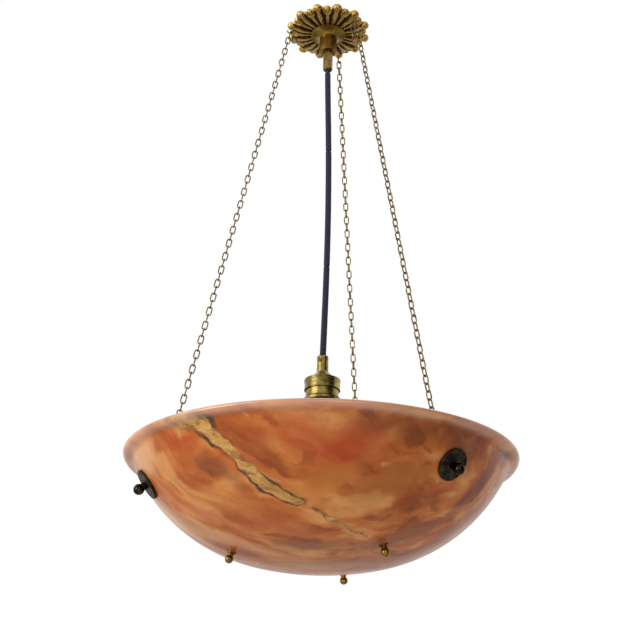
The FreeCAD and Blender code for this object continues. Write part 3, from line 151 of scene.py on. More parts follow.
def window(name, place, target, size, power):
    """A square soft light that faces a point of the object."""
    light = bpy.data.lights.new(name, "AREA")
    light.shape = "RECTANGLE"
    light.size, light.size_y = size
    light.energy = power
    lamp = bpy.data.objects.new(name, light)
    aim = Vector(target) - Vector(place)
    lamp.matrix_world = Matrix.Translation(place) @ aim.to_track_quat("-Z", "Y").to_matrix().to_4x4()
    scene.collection.objects.link(lamp)


middle = (0, 0, rim_height - 0.02)
window("window_left", (-2.2, -1.5, rim_height + 0.25), middle, (1.6, 1.6), 46)
window("window_front", (0.3, -2.6, rim_height - 0.7), middle, (1.4, 1.0), 9)


def dark_card(name, place, target, size):
    """A black studio card that only reflections see, for contrast on the metal."""
    card_mesh = bmesh.new()
    bmesh.ops.create_grid(card_mesh, x_segments=1, y_segments=1, size=0.5)
    data = bpy.data.meshes.new(name)
    aim = Vector(target) - Vector(place)
    bmesh.ops.transform(card_mesh, matrix=(
        Matrix.Translation(place) @ aim.to_track_quat("-Z", "Y").to_matrix().to_4x4()
        @ Matrix.Diagonal((size[0], size[1], 1, 1))), verts=card_mesh.verts)
    card_mesh.to_mesh(data)
    card_mesh.free()
    card = bpy.data.objects.new(name, data)
    scene.collection.objects.link(card)
    card.visible_camera = False
    card.visible_diffuse = False
    card.visible_shadow = False
    card.visible_transmission = False
    black, _, black_shader = new_material(name + "_paint")
    black_shader.inputs["Base Color"].default_value = linear("0A0A0A")
    black_shader.inputs["Roughness"].default_value = 1.0
    data.materials.append(black)


dark_card("card_right", (1.6, -0.9, rim_height + 0.4), (0, 0, rim_height + 0.4), (1.5, 2.2))


# ---------------------------------------------------------------------- flex cord
# Three insulated cores in a woven cotton sleeve, navy black. It hangs from the
# ferrule's rubber gland to the cord grip with the slight bow it was wound with.
MM = 0.001
FLEX_DIAMETER = 6.8 * MM
FLEX_SIDES = 24
FLEX_ROUTE = [
    (0.0, 0.0, -0.0687), (0.0009, 0.0, -0.112), (0.0022, 0.0002, -0.158),
    (0.0030, 0.0003, -0.206), (0.0033, 0.0003, -0.256), (0.0030, 0.0002, -0.306),
    (0.0022, 0.0001, -0.354), (0.0011, 0.0, -0.400), (0.0, 0.0, -0.4391)]


def smooth_line(name, route):
    """Points along the smooth curve that a flexible lead takes through its route."""
    data = bpy.data.curves.new(name, "CURVE")
    data.dimensions = "3D"
    data.resolution_u = 16
    spline = data.splines.new("NURBS")
    spline.points.add(len(route) - 1)
    for point, place in zip(spline.points, route):
        point.co = (*place, 1)
    spline.order_u = 3
    spline.use_endpoint_u = True
    holder = bpy.data.objects.new(name, data)
    scene.collection.objects.link(holder)
    bpy.context.view_layer.update()
    line = bpy.data.meshes.new_from_object(holder)
    points = [vertex.co.copy() for vertex in line.vertices]
    bpy.data.objects.remove(holder)
    return points


def finished(name, mesh, material, body, replaces):
    """Turns a bmesh into a piece that rides on its body and has its finish."""
    data = bpy.data.meshes.new(name)
    mesh.to_mesh(data)
    mesh.free()
    data.shade_smooth()
    data.materials.append(material)
    piece = bpy.data.objects.new(name, data)
    scene.collection.objects.link(piece)
    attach(piece, body)
    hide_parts(*replaces)
    return piece


def sleeve_along(points, radius, sides):
    """A round sleeve along a line, with UV: once round in U, metres along in V."""
    mesh = bmesh.new()
    uv = mesh.loops.layers.uv.new("weave")
    rings = []
    runs = [0.0]
    for number, point in enumerate(points):
        before = points[max(number - 1, 0)]
        after = points[min(number + 1, len(points) - 1)]
        turn = (after - before).to_track_quat("Z", "Y").to_matrix().to_4x4()
        made = bmesh.ops.create_circle(mesh, cap_ends=False, segments=sides, radius=radius,
                                       matrix=Matrix.Translation(point) @ turn)
        rings.append(made["verts"])
        if number:
            runs.append(runs[-1] + (point - before).length)
    for number in range(len(rings) - 1):
        for side in range(sides):
            here, there = rings[number], rings[number + 1]
            after = (side + 1) % sides
            face = mesh.faces.new((here[side], here[after], there[after], there[side]))
            corners = ((side, number), (side + 1, number), (side + 1, number + 1), (side, number + 1))
            for loop, (across, along) in zip(face.loops, corners):
                loop[uv].uv = (across / sides, runs[along])
    for ring in (rings[0], rings[-1]):
        mesh.faces.new(ring)
    bmesh.ops.recalc_face_normals(mesh, faces=mesh.faces)
    return mesh


# Cotton braid: sixteen carriers each way, laid at about 45 degrees, each a bundle
# of matt threads whose crowns are painted a lighter navy: a painted sheen. Thread pitch 1.3 mm.
BRAID_CARRIERS = 16
BRAID_PITCH = 1.3 * MM
braid, tree, shader = new_material("cotton_braid")
place = add(tree, "UVMap", uv_map="weave")
parts = add(tree, "SeparateXYZ", {"Vector": place.outputs["UV"]})
round_turns = add(tree, "Math", {0: parts.outputs["X"], 1: BRAID_CARRIERS / 2.0}, operation="MULTIPLY")
along_turns = add(tree, "Math", {0: parts.outputs["Y"], 1: BRAID_PITCH * 2}, operation="DIVIDE")
crowns = []
for operation in ("ADD", "SUBTRACT"):
    phase = add(tree, "Math", {0: round_turns.outputs[0], 1: along_turns.outputs[0]}, operation=operation)
    wave = add(tree, "Math", {0: phase.outputs[0], 1: 1.0}, operation="PINGPONG")
    crowns.append(wave.outputs[0])
crown = add(tree, "Math", {0: crowns[0], 1: crowns[1]}, operation="MAXIMUM")
fuzz = add(tree, "TexNoise", {"Scale": 2600.0, "Detail": 2.0})
threads = add(tree, "Math", {0: fuzz.outputs["Fac"], 1: 0.25, 2: crown.outputs[0]},
              operation="MULTIPLY_ADD")
# the ramp paints a highlight on each thread's crown: the lighter navy is painted sheen
shade = add(tree, "ValToRGB", {"Fac": threads.outputs[0]}, stops=[
    (0.45, linear("14162A")), (0.85, linear("1E2138")), (1.0, linear("2A2E46"))])
tree.links.new(shade.outputs["Color"], shader.inputs["Base Color"])
raised = add(tree, "Bump", {"Strength": 0.6, "Distance": 0.3 * MM, "Height": threads.outputs[0]})
tree.links.new(raised.outputs["Normal"], shader.inputs["Normal"])
shader.inputs["Roughness"].default_value = 0.85
shader.inputs["Specular IOR Level"].default_value = 0.3
shader.inputs["Sheen Weight"].default_value = 0.15

flex_points = smooth_line("flex_line", FLEX_ROUTE)
flex = finished("flex", sleeve_along(flex_points, FLEX_DIAMETER / 2, FLEX_SIDES), braid, "cord",
                ["flex_cord"])


# ----------------------------------------------------------------- alabaster bowl
# One block of banded Spanish-type alabaster, turned to a 10 mm wall with a rounded
# lip, then waxed and polished. Iron-stained clouds lie round a pale clay vein.
BOWL_DEPTH = 109.0
RIM_RADIUS = 200.0
WALL = 10.0
FLOOR_BEND = 320.0
SIDE_BEND = 172.8
FLOOR_ANGLE = math.radians(13.75)
NECK_DEPTH = 9.0
LIP_DEPTH = 6.7
LIP_UNDER = 193.0
EDGE_ROUND = 1.6
TURNING_STEPS = 288
MERGE_DISTANCE = 0.5e-5

side_centre_radius = (FLOOR_BEND - SIDE_BEND) * math.sin(FLOOR_ANGLE)
side_centre_height = FLOOR_BEND - BOWL_DEPTH - (FLOOR_BEND - SIDE_BEND) * math.cos(FLOOR_ANGLE)


def arc(centre, radius, start, end, count):
    """Points of a circle's arc, in degrees from straight down towards the outside."""
    points = []
    for number in range(count + 1):
        angle = math.radians(start + (end - start) * number / count)
        points.append((centre[0] + radius * math.sin(angle), centre[1] - radius * math.cos(angle)))
    return points


def side_angle_at(radius_of_side, height):
    return math.degrees(math.acos((side_centre_height - height) / radius_of_side))


def wall_line(thickness, top, count):
    """The bowl's half section from its lowest point up to a height, at a depth into the wall."""
    floor_line = arc((0, FLOOR_BEND - BOWL_DEPTH), FLOOR_BEND - thickness, 0,
                     math.degrees(FLOOR_ANGLE), count // 4)
    side_line = arc((side_centre_radius, side_centre_height), SIDE_BEND - thickness,
                    math.degrees(FLOOR_ANGLE), side_angle_at(SIDE_BEND - thickness, top), count)
    return floor_line + side_line[1:]


def turned(outline, height, steps):
    """A lathe-turned piece: its half section in mm is spun round the vertical axis."""
    mesh = bmesh.new()
    line = [mesh.verts.new((radius * MM, 0, height + z * MM)) for radius, z in outline]
    edges = [mesh.edges.new(pair) for pair in zip(line, line[1:])]
    bmesh.ops.spin(mesh, geom=line + edges, axis=(0, 0, 1), cent=(0, 0, 0),
                   angle=math.radians(360), steps=steps, use_merge=True)
    bmesh.ops.remove_doubles(mesh, verts=mesh.verts, dist=MERGE_DISTANCE)
    bmesh.ops.recalc_face_normals(mesh, faces=mesh.faces)
    return mesh


outside = wall_line(0, -NECK_DEPTH, 56)
inside = wall_line(WALL, -EDGE_ROUND, 48)
lip_bulge = [(LIP_UNDER, -LIP_DEPTH), (196.2, -6.2), (198.6, -4.9), (199.7, -3.4), (RIM_RADIUS, -2.2)]
lip_top = arc((RIM_RADIUS - EDGE_ROUND, -EDGE_ROUND), EDGE_ROUND, 90, 180, 5)
inner_radius = inside[-1][0]
lip_inside = arc((inner_radius + EDGE_ROUND, -EDGE_ROUND), EDGE_ROUND, 180, 270, 5)
bowl_outline = outside + lip_bulge + lip_top + lip_inside + inside[::-1][1:]
bowl_mesh = turned(bowl_outline, rim_height, TURNING_STEPS)

# The stone's markings are placed as on a drawing of the bowl: azimuth from the front
# towards the right, depth below the rim, half lengths, and slope up to the right.
alabaster, tree, shader = new_material("polished_alabaster")
SWIRL_SIZE, SWIRL_REACH = 55.0, 34.0     # broad folding of the bands
FRAY_SIZE, FRAY_REACH = 14.0, 9.0        # ragged edges of every marking
here = add(tree, "TexCoord")
stone = add(tree, "Mapping", {"Vector": here.outputs["Object"],
                              "Location": (0, 0, -rim_height * 1000), "Scale": (1000, 1000, 1000)})
large_swirl = add(tree, "TexNoise", {"Vector": stone.outputs[0], "Scale": 1 / SWIRL_SIZE, "Detail": 2.0,
                                     "Roughness": 0.5})
swirl_offset = add(tree, "VectorMath", {0: large_swirl.outputs["Color"], 1: (0.5, 0.5, 0.5)},
                   operation="SUBTRACT")
small_swirl = add(tree, "TexNoise", {"Vector": stone.outputs[0], "Scale": 1 / FRAY_SIZE, "Detail": 3.0,
                                     "Roughness": 0.6})
small_offset = add(tree, "VectorMath", {0: small_swirl.outputs["Color"], 1: (0.5, 0.5, 0.5)},
                   operation="SUBTRACT")
warped = add(tree, "VectorMath", {0: swirl_offset.outputs[0], 1: (SWIRL_REACH,) * 3, 2: stone.outputs[0]},
             operation="MULTIPLY_ADD")
frayed = add(tree, "VectorMath", {0: small_offset.outputs[0], 1: (FRAY_REACH,) * 3, 2: warped.outputs[0]},
             operation="MULTIPLY_ADD")


def outside_radius(depth):
    """Radius of the bowl's outside at a depth below the rim."""
    if depth >= BOWL_DEPTH - FLOOR_BEND * (1 - math.cos(FLOOR_ANGLE)):
        rise = FLOOR_BEND - BOWL_DEPTH + depth
        return math.sqrt(max(FLOOR_BEND ** 2 - rise ** 2, 0))
    rise = side_centre_height + depth
    return side_centre_radius + math.sqrt(SIDE_BEND ** 2 - rise ** 2)


def on_stone(azimuth, depth):
    """A point of the bowl's outside, in mm from the rim's centre."""
    turn = math.radians(azimuth)
    radius = outside_radius(depth)
    return Vector((radius * math.sin(turn), -radius * math.cos(turn), -depth))


def lie_on_stone(azimuth, depth, slope):
    """Rotation whose X runs along a marking, Y across it and Z out of the stone."""
    turn = math.radians(azimuth)
    along = Vector((math.cos(turn), math.sin(turn), 0))
    down = on_stone(azimuth, min(depth + 1, BOWL_DEPTH)) - on_stone(azimuth, max(depth - 1, 0))
    up = -down.normalized()
    tilt = math.radians(slope)
    axis_x = along * math.cos(tilt) + up * math.sin(tilt)
    axis_z = along.cross(up).normalized()
    axis_y = axis_z.cross(axis_x)
    return Matrix((axis_x, axis_y, axis_z)).transposed().to_euler()


CLOUD_EDGE, CLOUD_CORE = 1.35, 0.35      # where a cloud ends and where it is full, in half lengths
CLOUD_THROUGH = 40                       # how deep it goes into the stone


def cloud(azimuth, depth, length, width, slope):
    """Mask of one marking: 1 in its middle, fading to 0 at its ragged edge."""
    local = add(tree, "Mapping", {
        "Vector": frayed.outputs[0], "Location": on_stone(azimuth, depth),
        "Rotation": lie_on_stone(azimuth, depth, slope), "Scale": (length, width, CLOUD_THROUGH)},
        vector_type="TEXTURE")
    reach = add(tree, "VectorMath", {0: local.outputs[0]}, operation="LENGTH")
    return add(tree, "MapRange", {"Value": reach.outputs["Value"], "From Min": CLOUD_EDGE,
                                  "From Max": CLOUD_CORE}, interpolation_type="SMOOTHSTEP").outputs[0]


# The ground: iron-stained bands 30 to 90 mm across, tilted through the block.
BAND_TURN = (0.5, 0.35, 0.4)
BAND_SCALE = (0.011, 0.03, 0.028)
GROUND = [(0.28, linear("8A3C14")), (0.43, linear("A65422")), (0.55, linear("B9692E")),
          (0.70, linear("CC8A4E"))]
ground_noise = add(tree, "TexNoise", {"Vector": add(tree, "Mapping", {
    "Vector": frayed.outputs[0], "Rotation": BAND_TURN, "Scale": BAND_SCALE}).outputs[0],
    "Scale": 1.0, "Detail": 5.0, "Roughness": 0.55})
colour = add(tree, "ValToRGB", {"Fac": ground_noise.outputs["Fac"]}, stops=GROUND).outputs["Color"]

EMBER, RUST, PLUM = linear("A03612"), linear("8C3610"), linear("5A2A1E")
PEACH, TAN, BROWN = linear("D29C6C"), linear("9A5C28"), linear("6A3016")
CLOUDS = [
    # colour, strength, azimuth, depth, half length, half width, slope
    (EMBER, 0.85, 8, 32, 34, 20, 20),
    (PLUM, 0.45, 14, 14, 26, 9, 8),
    (EMBER, 0.65, -6, 26, 32, 22, -22),
    (RUST, 0.55, -19, 26, 20, 14, -45),
    (EMBER, 0.60, -43, 20, 28, 10, -20),
    (PLUM, 0.62, -35, 46, 27, 9, -38),
    (PLUM, 0.30, -28, 63, 13, 7, -42),
    (linear("C88444"), 0.45, -41, 66, 42, 16, -34),
    (linear("AC5034"), 0.50, -54, 72, 28, 10, -48),
    (PEACH, 0.75, -68, 20, 34, 20, -5),
    (PEACH, 0.80, -86, 60, 60, 26, -60),
    (PEACH, 0.55, -62, 90, 50, 14, -60),
    (PLUM, 0.55, -8, 100, 34, 14, -10),
    (linear("9A7452"), 0.6, 20, 108, 60, 14, 20),
    (BROWN, 0.62, 26, 14, 34, 15, 0),
    (TAN, 0.65, 24, 56, 44, 16, 28),
    (BROWN, 0.70, 46, 14, 36, 22, -10),
    (linear("6C3626"), 0.65, 62, 40, 44, 16, 80),
    (linear("7E3A18"), 0.5, 38, 66, 34, 12, 35),
    (linear("8C5A38"), 0.6, 46, 92, 50, 16, 50),
    (linear("9A6A4E"), 0.7, 80, 84, 60, 18, 110),
    (linear("5F6A74"), 0.7, 68, 12, 10, 7, 40),
    (linear("A65230"), 0.45, -16, 90, 38, 12, -20),
    (linear("BA7432"), 0.6, 2, 58, 40, 13, 28),
]
# Long soft streaks lie with the vein, down to the right across the front. Each tone:
# colour, strength, and the noise values where it starts and where it is full.
STREAK_TURN = 0.54
STREAK = (190, 19, 19)
STREAK_TONES = [(linear("74300F"), 0.6, 0.47, 0.34), (linear("D79B5C"), 0.55, 0.54, 0.68)]
streaks = add(tree, "TexNoise", {"Vector": add(tree, "Mapping", {
    "Vector": frayed.outputs[0], "Rotation": (0, STREAK_TURN, 0), "Scale": STREAK},
    vector_type="TEXTURE").outputs[0], "Scale": 1.0, "Detail": 2.5, "Roughness": 0.5})
for tint, amount, start, end in STREAK_TONES:
    mask = add(tree, "MapRange", {"Value": streaks.outputs["Fac"], "From Min": start, "From Max": end,
                                  "To Max": amount}, interpolation_type="SMOOTHSTEP")
    colour = add(tree, "Mix", {0: mask.outputs[0], 6: colour, 7: tint}, data_type="RGBA").outputs[2]
for tint, amount, *marking in CLOUDS:
    mask = add(tree, "Math", {0: cloud(*marking), 1: amount}, operation="MULTIPLY")
    colour = add(tree, "Mix", {0: mask.outputs[0], 6: colour, 7: tint}, data_type="RGBA").outputs[2]

# The vein runs from the rim on the left down across the front and dies out low on
# the right. Each stretch: azimuth, depth and half width where it starts.
VEIN = [(-38, 1, 13), (-35, 14, 11), (-30.5, 28, 7), (-26, 40, 5), (-22.5, 54, 4.6), (-18.5, 64, 7),
        (-12, 70, 6), (-4, 76, 4.5), (4, 80, 3.6), (11, 86, 2.6), (19, 92, 2.0), (26, 93, 1.2)]
vein_core = None
for (az_a, depth_a, width_a), (az_b, depth_b, width_b) in zip(VEIN, VEIN[1:]):
    start, end = on_stone(az_a, depth_a), on_stone(az_b, depth_b)
    run = end - start
    away = add(tree, "VectorMath", {0: frayed.outputs[0], 1: start}, operation="SUBTRACT")
    share = add(tree, "VectorMath", {0: away.outputs[0], 1: run / run.length_squared},
                operation="DOT_PRODUCT")
    share = add(tree, "Clamp", {"Value": share.outputs["Value"]})
    nearest = add(tree, "VectorMath", {0: run, "Scale": share.outputs[0]}, operation="SCALE")
    gap = add(tree, "VectorMath", {0: away.outputs[0], 1: nearest.outputs[0]}, operation="DISTANCE")
    width = add(tree, "MapRange", {"Value": share.outputs[0], "To Min": width_a, "To Max": width_b})
    ratio = add(tree, "Math", {0: gap.outputs["Value"], 1: width.outputs[0]}, operation="DIVIDE").outputs[0]
    if vein_core is None:
        vein_core = ratio
    else:
        vein_core = add(tree, "Math", {0: vein_core, 1: ratio, 2: 0.25}, operation="SMOOTH_MIN").outputs[0]

vein_grain = add(tree, "TexNoise", {"Vector": add(tree, "Mapping", {
    "Vector": frayed.outputs[0], "Rotation": (0, 0.9, 0.5), "Scale": (0.03, 0.16, 0.16)}).outputs[0],
    "Scale": 1.0, "Detail": 6.0, "Roughness": 0.7})
vein_colour = add(tree, "ValToRGB", {"Fac": vein_grain.outputs["Fac"]}, stops=[
    (0.34, linear("6A4E2A")), (0.47, linear("AC7C3E")), (0.62, linear("C8985A"))])
vein_mask = add(tree, "MapRange", {"Value": vein_core, "From Min": 1.15, "From Max": 0.8},
                interpolation_type="SMOOTHSTEP")
colour = add(tree, "Mix", {0: vein_mask.outputs[0], 6: colour, 7: vein_colour.outputs["Color"]},
             data_type="RGBA").outputs[2]
edge_break = add(tree, "TexNoise", {"Vector": stone.outputs[0], "Scale": 1 / 30.0, "Detail": 4.0,
                                    "Roughness": 0.65})
edge_near = add(tree, "MapRange", {"Value": vein_core, "From Min": 0.82, "From Max": 1.05},
                interpolation_type="SMOOTHSTEP")
edge_far = add(tree, "MapRange", {"Value": vein_core, "From Min": 1.65, "From Max": 1.12},
               interpolation_type="SMOOTHSTEP")
edge_line = add(tree, "Math", {0: edge_near.outputs[0], 1: edge_far.outputs[0]}, operation="MULTIPLY")
edge_share = add(tree, "MapRange", {"Value": edge_break.outputs["Fac"], "From Min": 0.34, "From Max": 0.56})
edge_mask = add(tree, "Math", {0: edge_line.outputs[0], 1: edge_share.outputs[0]}, operation="MULTIPLY")
colour = add(tree, "Mix", {0: edge_mask.outputs[0], 6: colour, 7: linear("443420")},
             data_type="RGBA").outputs[2]
# The lip was finished finer than the side. Its colour carries a painted sheen that
# makes it paler and pinker and a painted whitish highlight on top, with a shadowed step under it.
LIP_PAINTED_SHEEN = [(linear("E0A886"), 0.38, -7.2, -5.6), (linear("DDD2D2"), 0.7, -1.3, -0.5)]
level = add(tree, "SeparateXYZ", {"Vector": stone.outputs[0]}).outputs["Z"]
# paints the sheen on the lip and the highlight on its top edge into the stone's colour, by height
for tint, amount, start, end in LIP_PAINTED_SHEEN:
    mask = add(tree, "MapRange", {"Value": level, "From Min": start, "From Max": end, "To Max": amount},
               interpolation_type="SMOOTHSTEP")
    colour = add(tree, "Mix", {0: mask.outputs[0], 6: colour, 7: tint}, data_type="RGBA").outputs[2]
tree.links.new(colour, shader.inputs["Base Color"])
shader.inputs["Roughness"].default_value = 0.30
shader.inputs["IOR"].default_value = 1.52
polish = add(tree, "MapRange", {"Value": level, "From Min": -9.0, "From Max": -6.0, "To Min": 0.22,
                                "To Max": 0.9}, interpolation_type="SMOOTHSTEP")
tree.links.new(polish.outputs[0], shader.inputs["Specular IOR Level"])
finished("bowl", bowl_mesh, alabaster, "bowl", ["alabaster_bowl"])

# ------------------------------------------------------------------ ceiling rose
# Sand-cast brass rosette: twelve ribbed leaves with rolled tips over twelve small
# ones, hand-chased, gilded on the crests and left to darken in the recesses.
LEAF_COUNT = 12
FIRST_LEAF = -77.0
LEAF_ROOT, LEAF_TIP, SMALL_TIP = 17.0, 48.0, 45.0
LEAF_WIDE, LEAF_THICK, SMALL_LEAF = 8.6, 3.3, 0.80
LEAF_HIGH, LEAF_LOW = -13.2, -9.6
RIBS = 2.0
RIB_DEPTH = 0.26
SCROLL_SIZE = (5.0, 5.4, 4.3)
SCROLL_PLACE, SCROLL_DROP = 46.0, 1.3
SMALL_SCROLL_PLACE, SMALL_SCROLL_DROP = 42.4, 0.6
SCROLL_TURNS = 5
LEAF_FACES, SCROLL_FACES = (40, 26), (30, 16)
FLUTES, FLUTE_DEPTH = 72, 0.45
FLUTE_START, FLUTE_END, DISH_BACK = 18, 42, -5.3


def azimuth_turn(azimuth):
    """Turns local +X to an azimuth from the front towards the right."""
    return Matrix.Rotation(math.radians(azimuth - 90), 4, "Z")


def shaped_skin(mesh, relief, shape, matrix, around, along):
    """Adds a closed skin: a ball lying along X whose points are moved by shape."""
    made = bmesh.ops.create_uvsphere(mesh, u_segments=around, v_segments=along, radius=1,
                                     matrix=Matrix.Rotation(math.radians(90), 4, "Y"))
    for vertex in made["verts"]:
        share = (vertex.co.x + 1) / 2
        across = math.hypot(vertex.co.y, vertex.co.z)
        side, height = (vertex.co.y / across, vertex.co.z / across) if across > 1e-6 else (0, 0)
        place, crest = shape(share, side, height, across)
        vertex.co = matrix @ (Vector(place) * MM)
        vertex[relief] = crest


def leaf_shape(tip, scale):
    """A leaf that is slim at its root, broad past its middle and ribbed underneath."""
    def shape(share, side, height, across):
        wide = LEAF_WIDE * scale * (0.50 + 0.58 * math.sin(math.pi * min(share * 0.86, 1)) ** 1.5)
        wide *= min(1.0, across * 1.7)
        lobes = 1 + 0.10 * math.cos(share * math.pi * 7)
        rib = math.cos(side * math.pi * RIBS)
        thick = LEAF_THICK * scale * min(1.0, across * 1.6) * (0.72 + 0.28 * math.sin(math.pi * share))
        if height < 0:
            thick *= 1 + RIB_DEPTH * rib * min(1.0, 4 * across)
        radius = LEAF_ROOT + (tip - LEAF_ROOT) * share
        level = LEAF_HIGH + (LEAF_LOW - LEAF_HIGH) * share - 1.6 * math.sin(math.pi * share) * scale
        crest = 0.5 + 0.32 * rib + 0.30 * (share - 0.55)
        return (radius, wide * lobes * side, level + thick * height), crest
    return shape


def scroll_shape(scale):
    """The rolled tip of a leaf, with the turns of the roll cut into its face."""
    def shape(share, side, height, across):
        angle = math.atan2(height, side)
        roll = 1 + 0.07 * math.cos(angle * SCROLL_TURNS) * across
        size = [axis * scale for axis in SCROLL_SIZE]
        along = (share - 0.5) * 2
        return ((size[0] * along, size[1] * side * across * roll, size[2] * height * across * roll),
                0.78 + 0.22 * math.cos(angle * SCROLL_TURNS))
    return shape


rose_mesh = turned([(0, -15.2), (19, -15.2), (24, -14.8), (32, -13.4), (38, -11.2), (41.4, -8.8),
                    (39.6, -6.2), (35.4, -3.4), (31.6, -0.8), (31, 0), (28, 0), (28, -5), (24, -10),
                    (0, -12)], 0.0, TURNING_STEPS)
relief = rose_mesh.verts.layers.float.new("relief")
for vertex in rose_mesh.verts:
    reach = math.hypot(vertex.co.x, vertex.co.y) / MM
    if FLUTE_START < reach < FLUTE_END and vertex.co.z < DISH_BACK * MM:
        flute = math.cos(math.atan2(vertex.co.y, vertex.co.x) * FLUTES)
        vertex.co.z -= FLUTE_DEPTH * MM * flute
        vertex[relief] = 0.26 + 0.22 * flute
    else:
        vertex[relief] = 0.05
for number in range(LEAF_COUNT * 2):
    large = number % 2 == 0
    turn = azimuth_turn(FIRST_LEAF + number * 180 / LEAF_COUNT)
    scale, tip = (1.0, LEAF_TIP) if large else (SMALL_LEAF, SMALL_TIP)
    shaped_skin(rose_mesh, relief, leaf_shape(tip, scale), turn, *LEAF_FACES)
    reach, drop = (SCROLL_PLACE, SCROLL_DROP) if large else (SMALL_SCROLL_PLACE, SMALL_SCROLL_DROP)
    shaped_skin(rose_mesh, relief, scroll_shape(scale),
                turn @ Matrix.Translation((reach * MM, 0, (LEAF_LOW - drop) * MM)), *SCROLL_FACES)
bmesh.ops.recalc_face_normals(rose_mesh, faces=rose_mesh.faces)

gilded, tree, shader = new_material("chased_gilded_brass")
carved = add(tree, "Attribute", attribute_name="relief")
here = add(tree, "TexCoord")
wear = add(tree, "TexNoise", {"Vector": here.outputs["Object"], "Scale": 240.0, "Detail": 5.0,
                              "Roughness": 0.65})
height = add(tree, "Math", {0: wear.outputs["Fac"], 1: 0.7, 2: carved.outputs["Fac"]},
             operation="MULTIPLY_ADD")
tone = add(tree, "ValToRGB", {"Fac": height.outputs[0]}, stops=[
    (0.42, linear("160F08")), (0.70, linear("46341A")), (0.92, linear("826630")),
    (1.0, linear("BE9A52"))])
tree.links.new(tone.outputs["Color"], shader.inputs["Base Color"])
polish = add(tree, "MapRange", {"Value": height.outputs[0], "From Min": 0.4, "From Max": 1.0,
                                "To Min": 0.62, "To Max": 0.27})
tree.links.new(polish.outputs[0], shader.inputs["Roughness"])
tool_marks = add(tree, "TexNoise", {"Vector": here.outputs["Object"], "Scale": 1400.0, "Detail": 3.0})
raised = add(tree, "Bump", {"Strength": 0.5, "Distance": 0.25 * MM, "Height": tool_marks.outputs["Fac"]})
tree.links.new(raised.outputs["Normal"], shader.inputs["Normal"])
shader.inputs["Metallic"].default_value = 1.0
finished("leaf_rose", rose_mesh, gilded, "rose", ["ceiling_rose"])


# --------------------------------------------------- brass, bronze and steel pieces
# Spun, drawn and turned metal of one age: tarnish in soft patches, fine pits that
# hold dirt, and rubbed places that shine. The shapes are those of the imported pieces.
def aged_metal(name, dark, body, bright, patch, rough, pit):
    """A worn metal. patch is the size of its tarnish and pit the depth of its pits, in mm."""
    material, tree, shader = new_material(name)
    here = add(tree, "TexCoord")
    tarnish = add(tree, "TexNoise", {"Vector": here.outputs["Object"], "Scale": 1000 / patch,
                                     "Detail": 5.0, "Roughness": 0.62})
    tone = add(tree, "ValToRGB", {"Fac": tarnish.outputs["Fac"]}, stops=[
        (0.32, linear(dark)), (0.50, linear(body)), (0.70, linear(bright))])
    tree.links.new(tone.outputs["Color"], shader.inputs["Base Color"])
    shine = add(tree, "MapRange", {"Value": tarnish.outputs["Fac"], "From Min": 0.3, "From Max": 0.7,
                                   "To Min": rough[0], "To Max": rough[1]})
    tree.links.new(shine.outputs[0], shader.inputs["Roughness"])
    pits = add(tree, "TexNoise", {"Vector": here.outputs["Object"], "Scale": 1800.0, "Detail": 2.0})
    sunk = add(tree, "Bump", {"Strength": 0.6, "Distance": pit * MM, "Height": pits.outputs["Fac"]})
    tree.links.new(sunk.outputs["Normal"], shader.inputs["Normal"])
    shader.inputs["Metallic"].default_value = 1.0
    return material


def dress(slot, material):
    """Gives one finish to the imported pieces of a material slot."""
    for piece in frame["record"]["subparts"]:
        if piece["material_slot"] == slot:
            for place in frame["nodes"][piece["node"]].material_slots:
                place.material = material


METALS = [
    # slot, material name, dark, body, bright, tarnish mm, roughness dull and bright, pit mm
    ("boss_brass", "spun_lacquered_brass", "54401E", "84682E", "AC8C46", 14, (0.40, 0.24), 0.05),
    ("ferrule_brass", "turned_brass", "4A381C", "7E6434", "AC9058", 9, (0.38, 0.22), 0.04),
    ("chain_brass", "drawn_chain_brass", "33281A", "7C6438", "B49C64", 4, (0.50, 0.28), 0.12),
    ("hook_brass", "bent_brass_wire", "3C2E16", "86682E", "BC9A50", 5, (0.46, 0.26), 0.08),
    ("eye_bronze", "cast_eye_bronze", "2E2114", "64482A", "96744A", 5, (0.52, 0.32), 0.12),
    ("disc_bronze", "hammered_dark_bronze", "191611", "2E2820", "54462F", 5, (0.66, 0.42), 0.5),
    ("ball_bronze", "turned_black_bronze", "14110D", "2A211A", "5A4528", 8, (0.26, 0.14), 0.03),
    ("stud_brass", "turned_stud_brass", "4A3414", "82602A", "BA9450", 5, (0.40, 0.22), 0.06),
    ("holder_brass", "spun_olive_brass", "4E4422", "857440", "B09C60", 12, (0.36, 0.20), 0.04),
    ("screw_brass", "cut_brass", "2C2010", "5A4422", "8A6C3A", 3, (0.5, 0.35), 0.05),
    ("terminal_brass", "bright_cut_brass", "8E6E34", "BE9848", "DCBA6C", 4, (0.34, 0.22), 0.03),
    ("zinc_steel", "zinc_plated_steel", "6E7072", "9A9C9E", "BDBFC1", 6, (0.48, 0.32), 0.05),
    ("spring_steel", "hard_drawn_steel", "5A5C60", "8C8F94", "B4B7BB", 3, (0.35, 0.25), 0.02),
    ("lamp_aluminium", "pressed_aluminium", "8C8E92", "B4B6BA", "D0D2D6", 9, (0.40, 0.28), 0.04),
    ("solder", "tin_solder", "77797C", "A0A2A6", "C6C8CC", 2, (0.42, 0.26), 0.08),
]
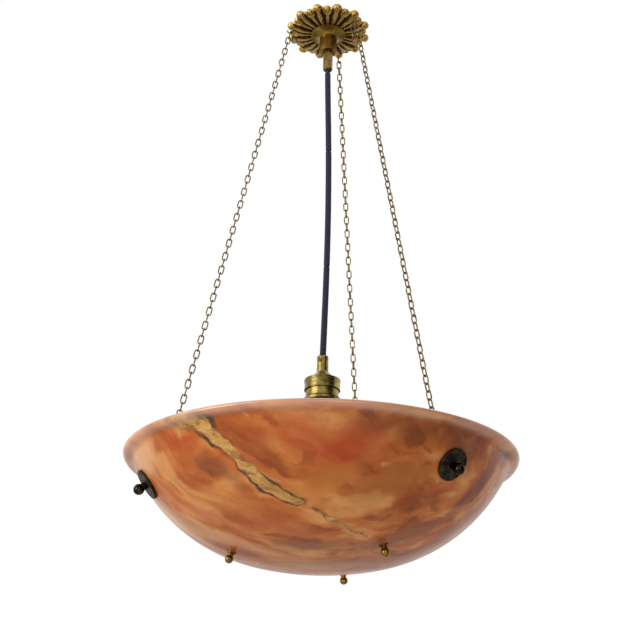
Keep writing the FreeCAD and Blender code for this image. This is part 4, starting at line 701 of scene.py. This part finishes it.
for slot_name, *finish in METALS:
    dress(slot_name, aged_metal(*finish))


# ------------------------------------------------------- plastic, rubber and glass
# Moulded and pressed parts inside the fittings, and the pearl lamp: plain colours
# with the faint unevenness of the mould, and a soft sheen.
def moulded(name, colour, shade, patch, rough, pit, **inputs):
    """A cast or moulded finish that drifts between two near colours over patch mm."""
    material, tree, shader = new_material(name)
    here = add(tree, "TexCoord")
    drift = add(tree, "TexNoise", {"Vector": here.outputs["Object"], "Scale": 1000 / patch, "Detail": 3.0})
    tone = add(tree, "ValToRGB", {"Fac": drift.outputs["Fac"]}, stops=[
        (0.35, linear(shade)), (0.62, linear(colour))])
    tree.links.new(tone.outputs["Color"], shader.inputs["Base Color"])
    grain = add(tree, "TexNoise", {"Vector": here.outputs["Object"], "Scale": 2500.0, "Detail": 2.0})
    raised = add(tree, "Bump", {"Strength": 0.5, "Distance": pit * MM, "Height": grain.outputs["Fac"]})
    tree.links.new(raised.outputs["Normal"], shader.inputs["Normal"])
    shader.inputs["Roughness"].default_value = rough
    for socket, value in inputs.items():
        shader.inputs[socket.replace("_", " ")].default_value = value
    return material


MOULDED = [
    # slot, material name, colour, shade, drift mm, roughness, grain mm
    ("fibre", "pressed_vulcanised_fibre", "7A3A28", "5C2A1E", 6, 0.7, 0.08),
    ("gland_rubber", "moulded_black_rubber", "1E1D1C", "121111", 5, 0.6, 0.05),
    ("terminal_plastic", "moulded_nylon", "E4E0D4", "D2CDBE", 8, 0.45, 0.03),
    ("core_insulation", "extruded_pvc", "6E5A46", "4E4034", 12, 0.4, 0.02),
    ("ceramic", "glazed_steatite", "EDE8DC", "DAD3C2", 10, 0.28, 0.02),
    ("vitrite", "black_glass_insulator", "17161A", "0E0D10", 6, 0.15, 0.01),
]
for slot_name, *finish in MOULDED:
    dress(slot_name, moulded(*finish))
dress("lamp_glass", moulded("pearl_lamp_glass", "F4F2EC", "E8E5DC", 20, 0.35, 0.01,
                            Subsurface_Weight=0.3, Coat_Weight=0.5))
dress("braid", braid)
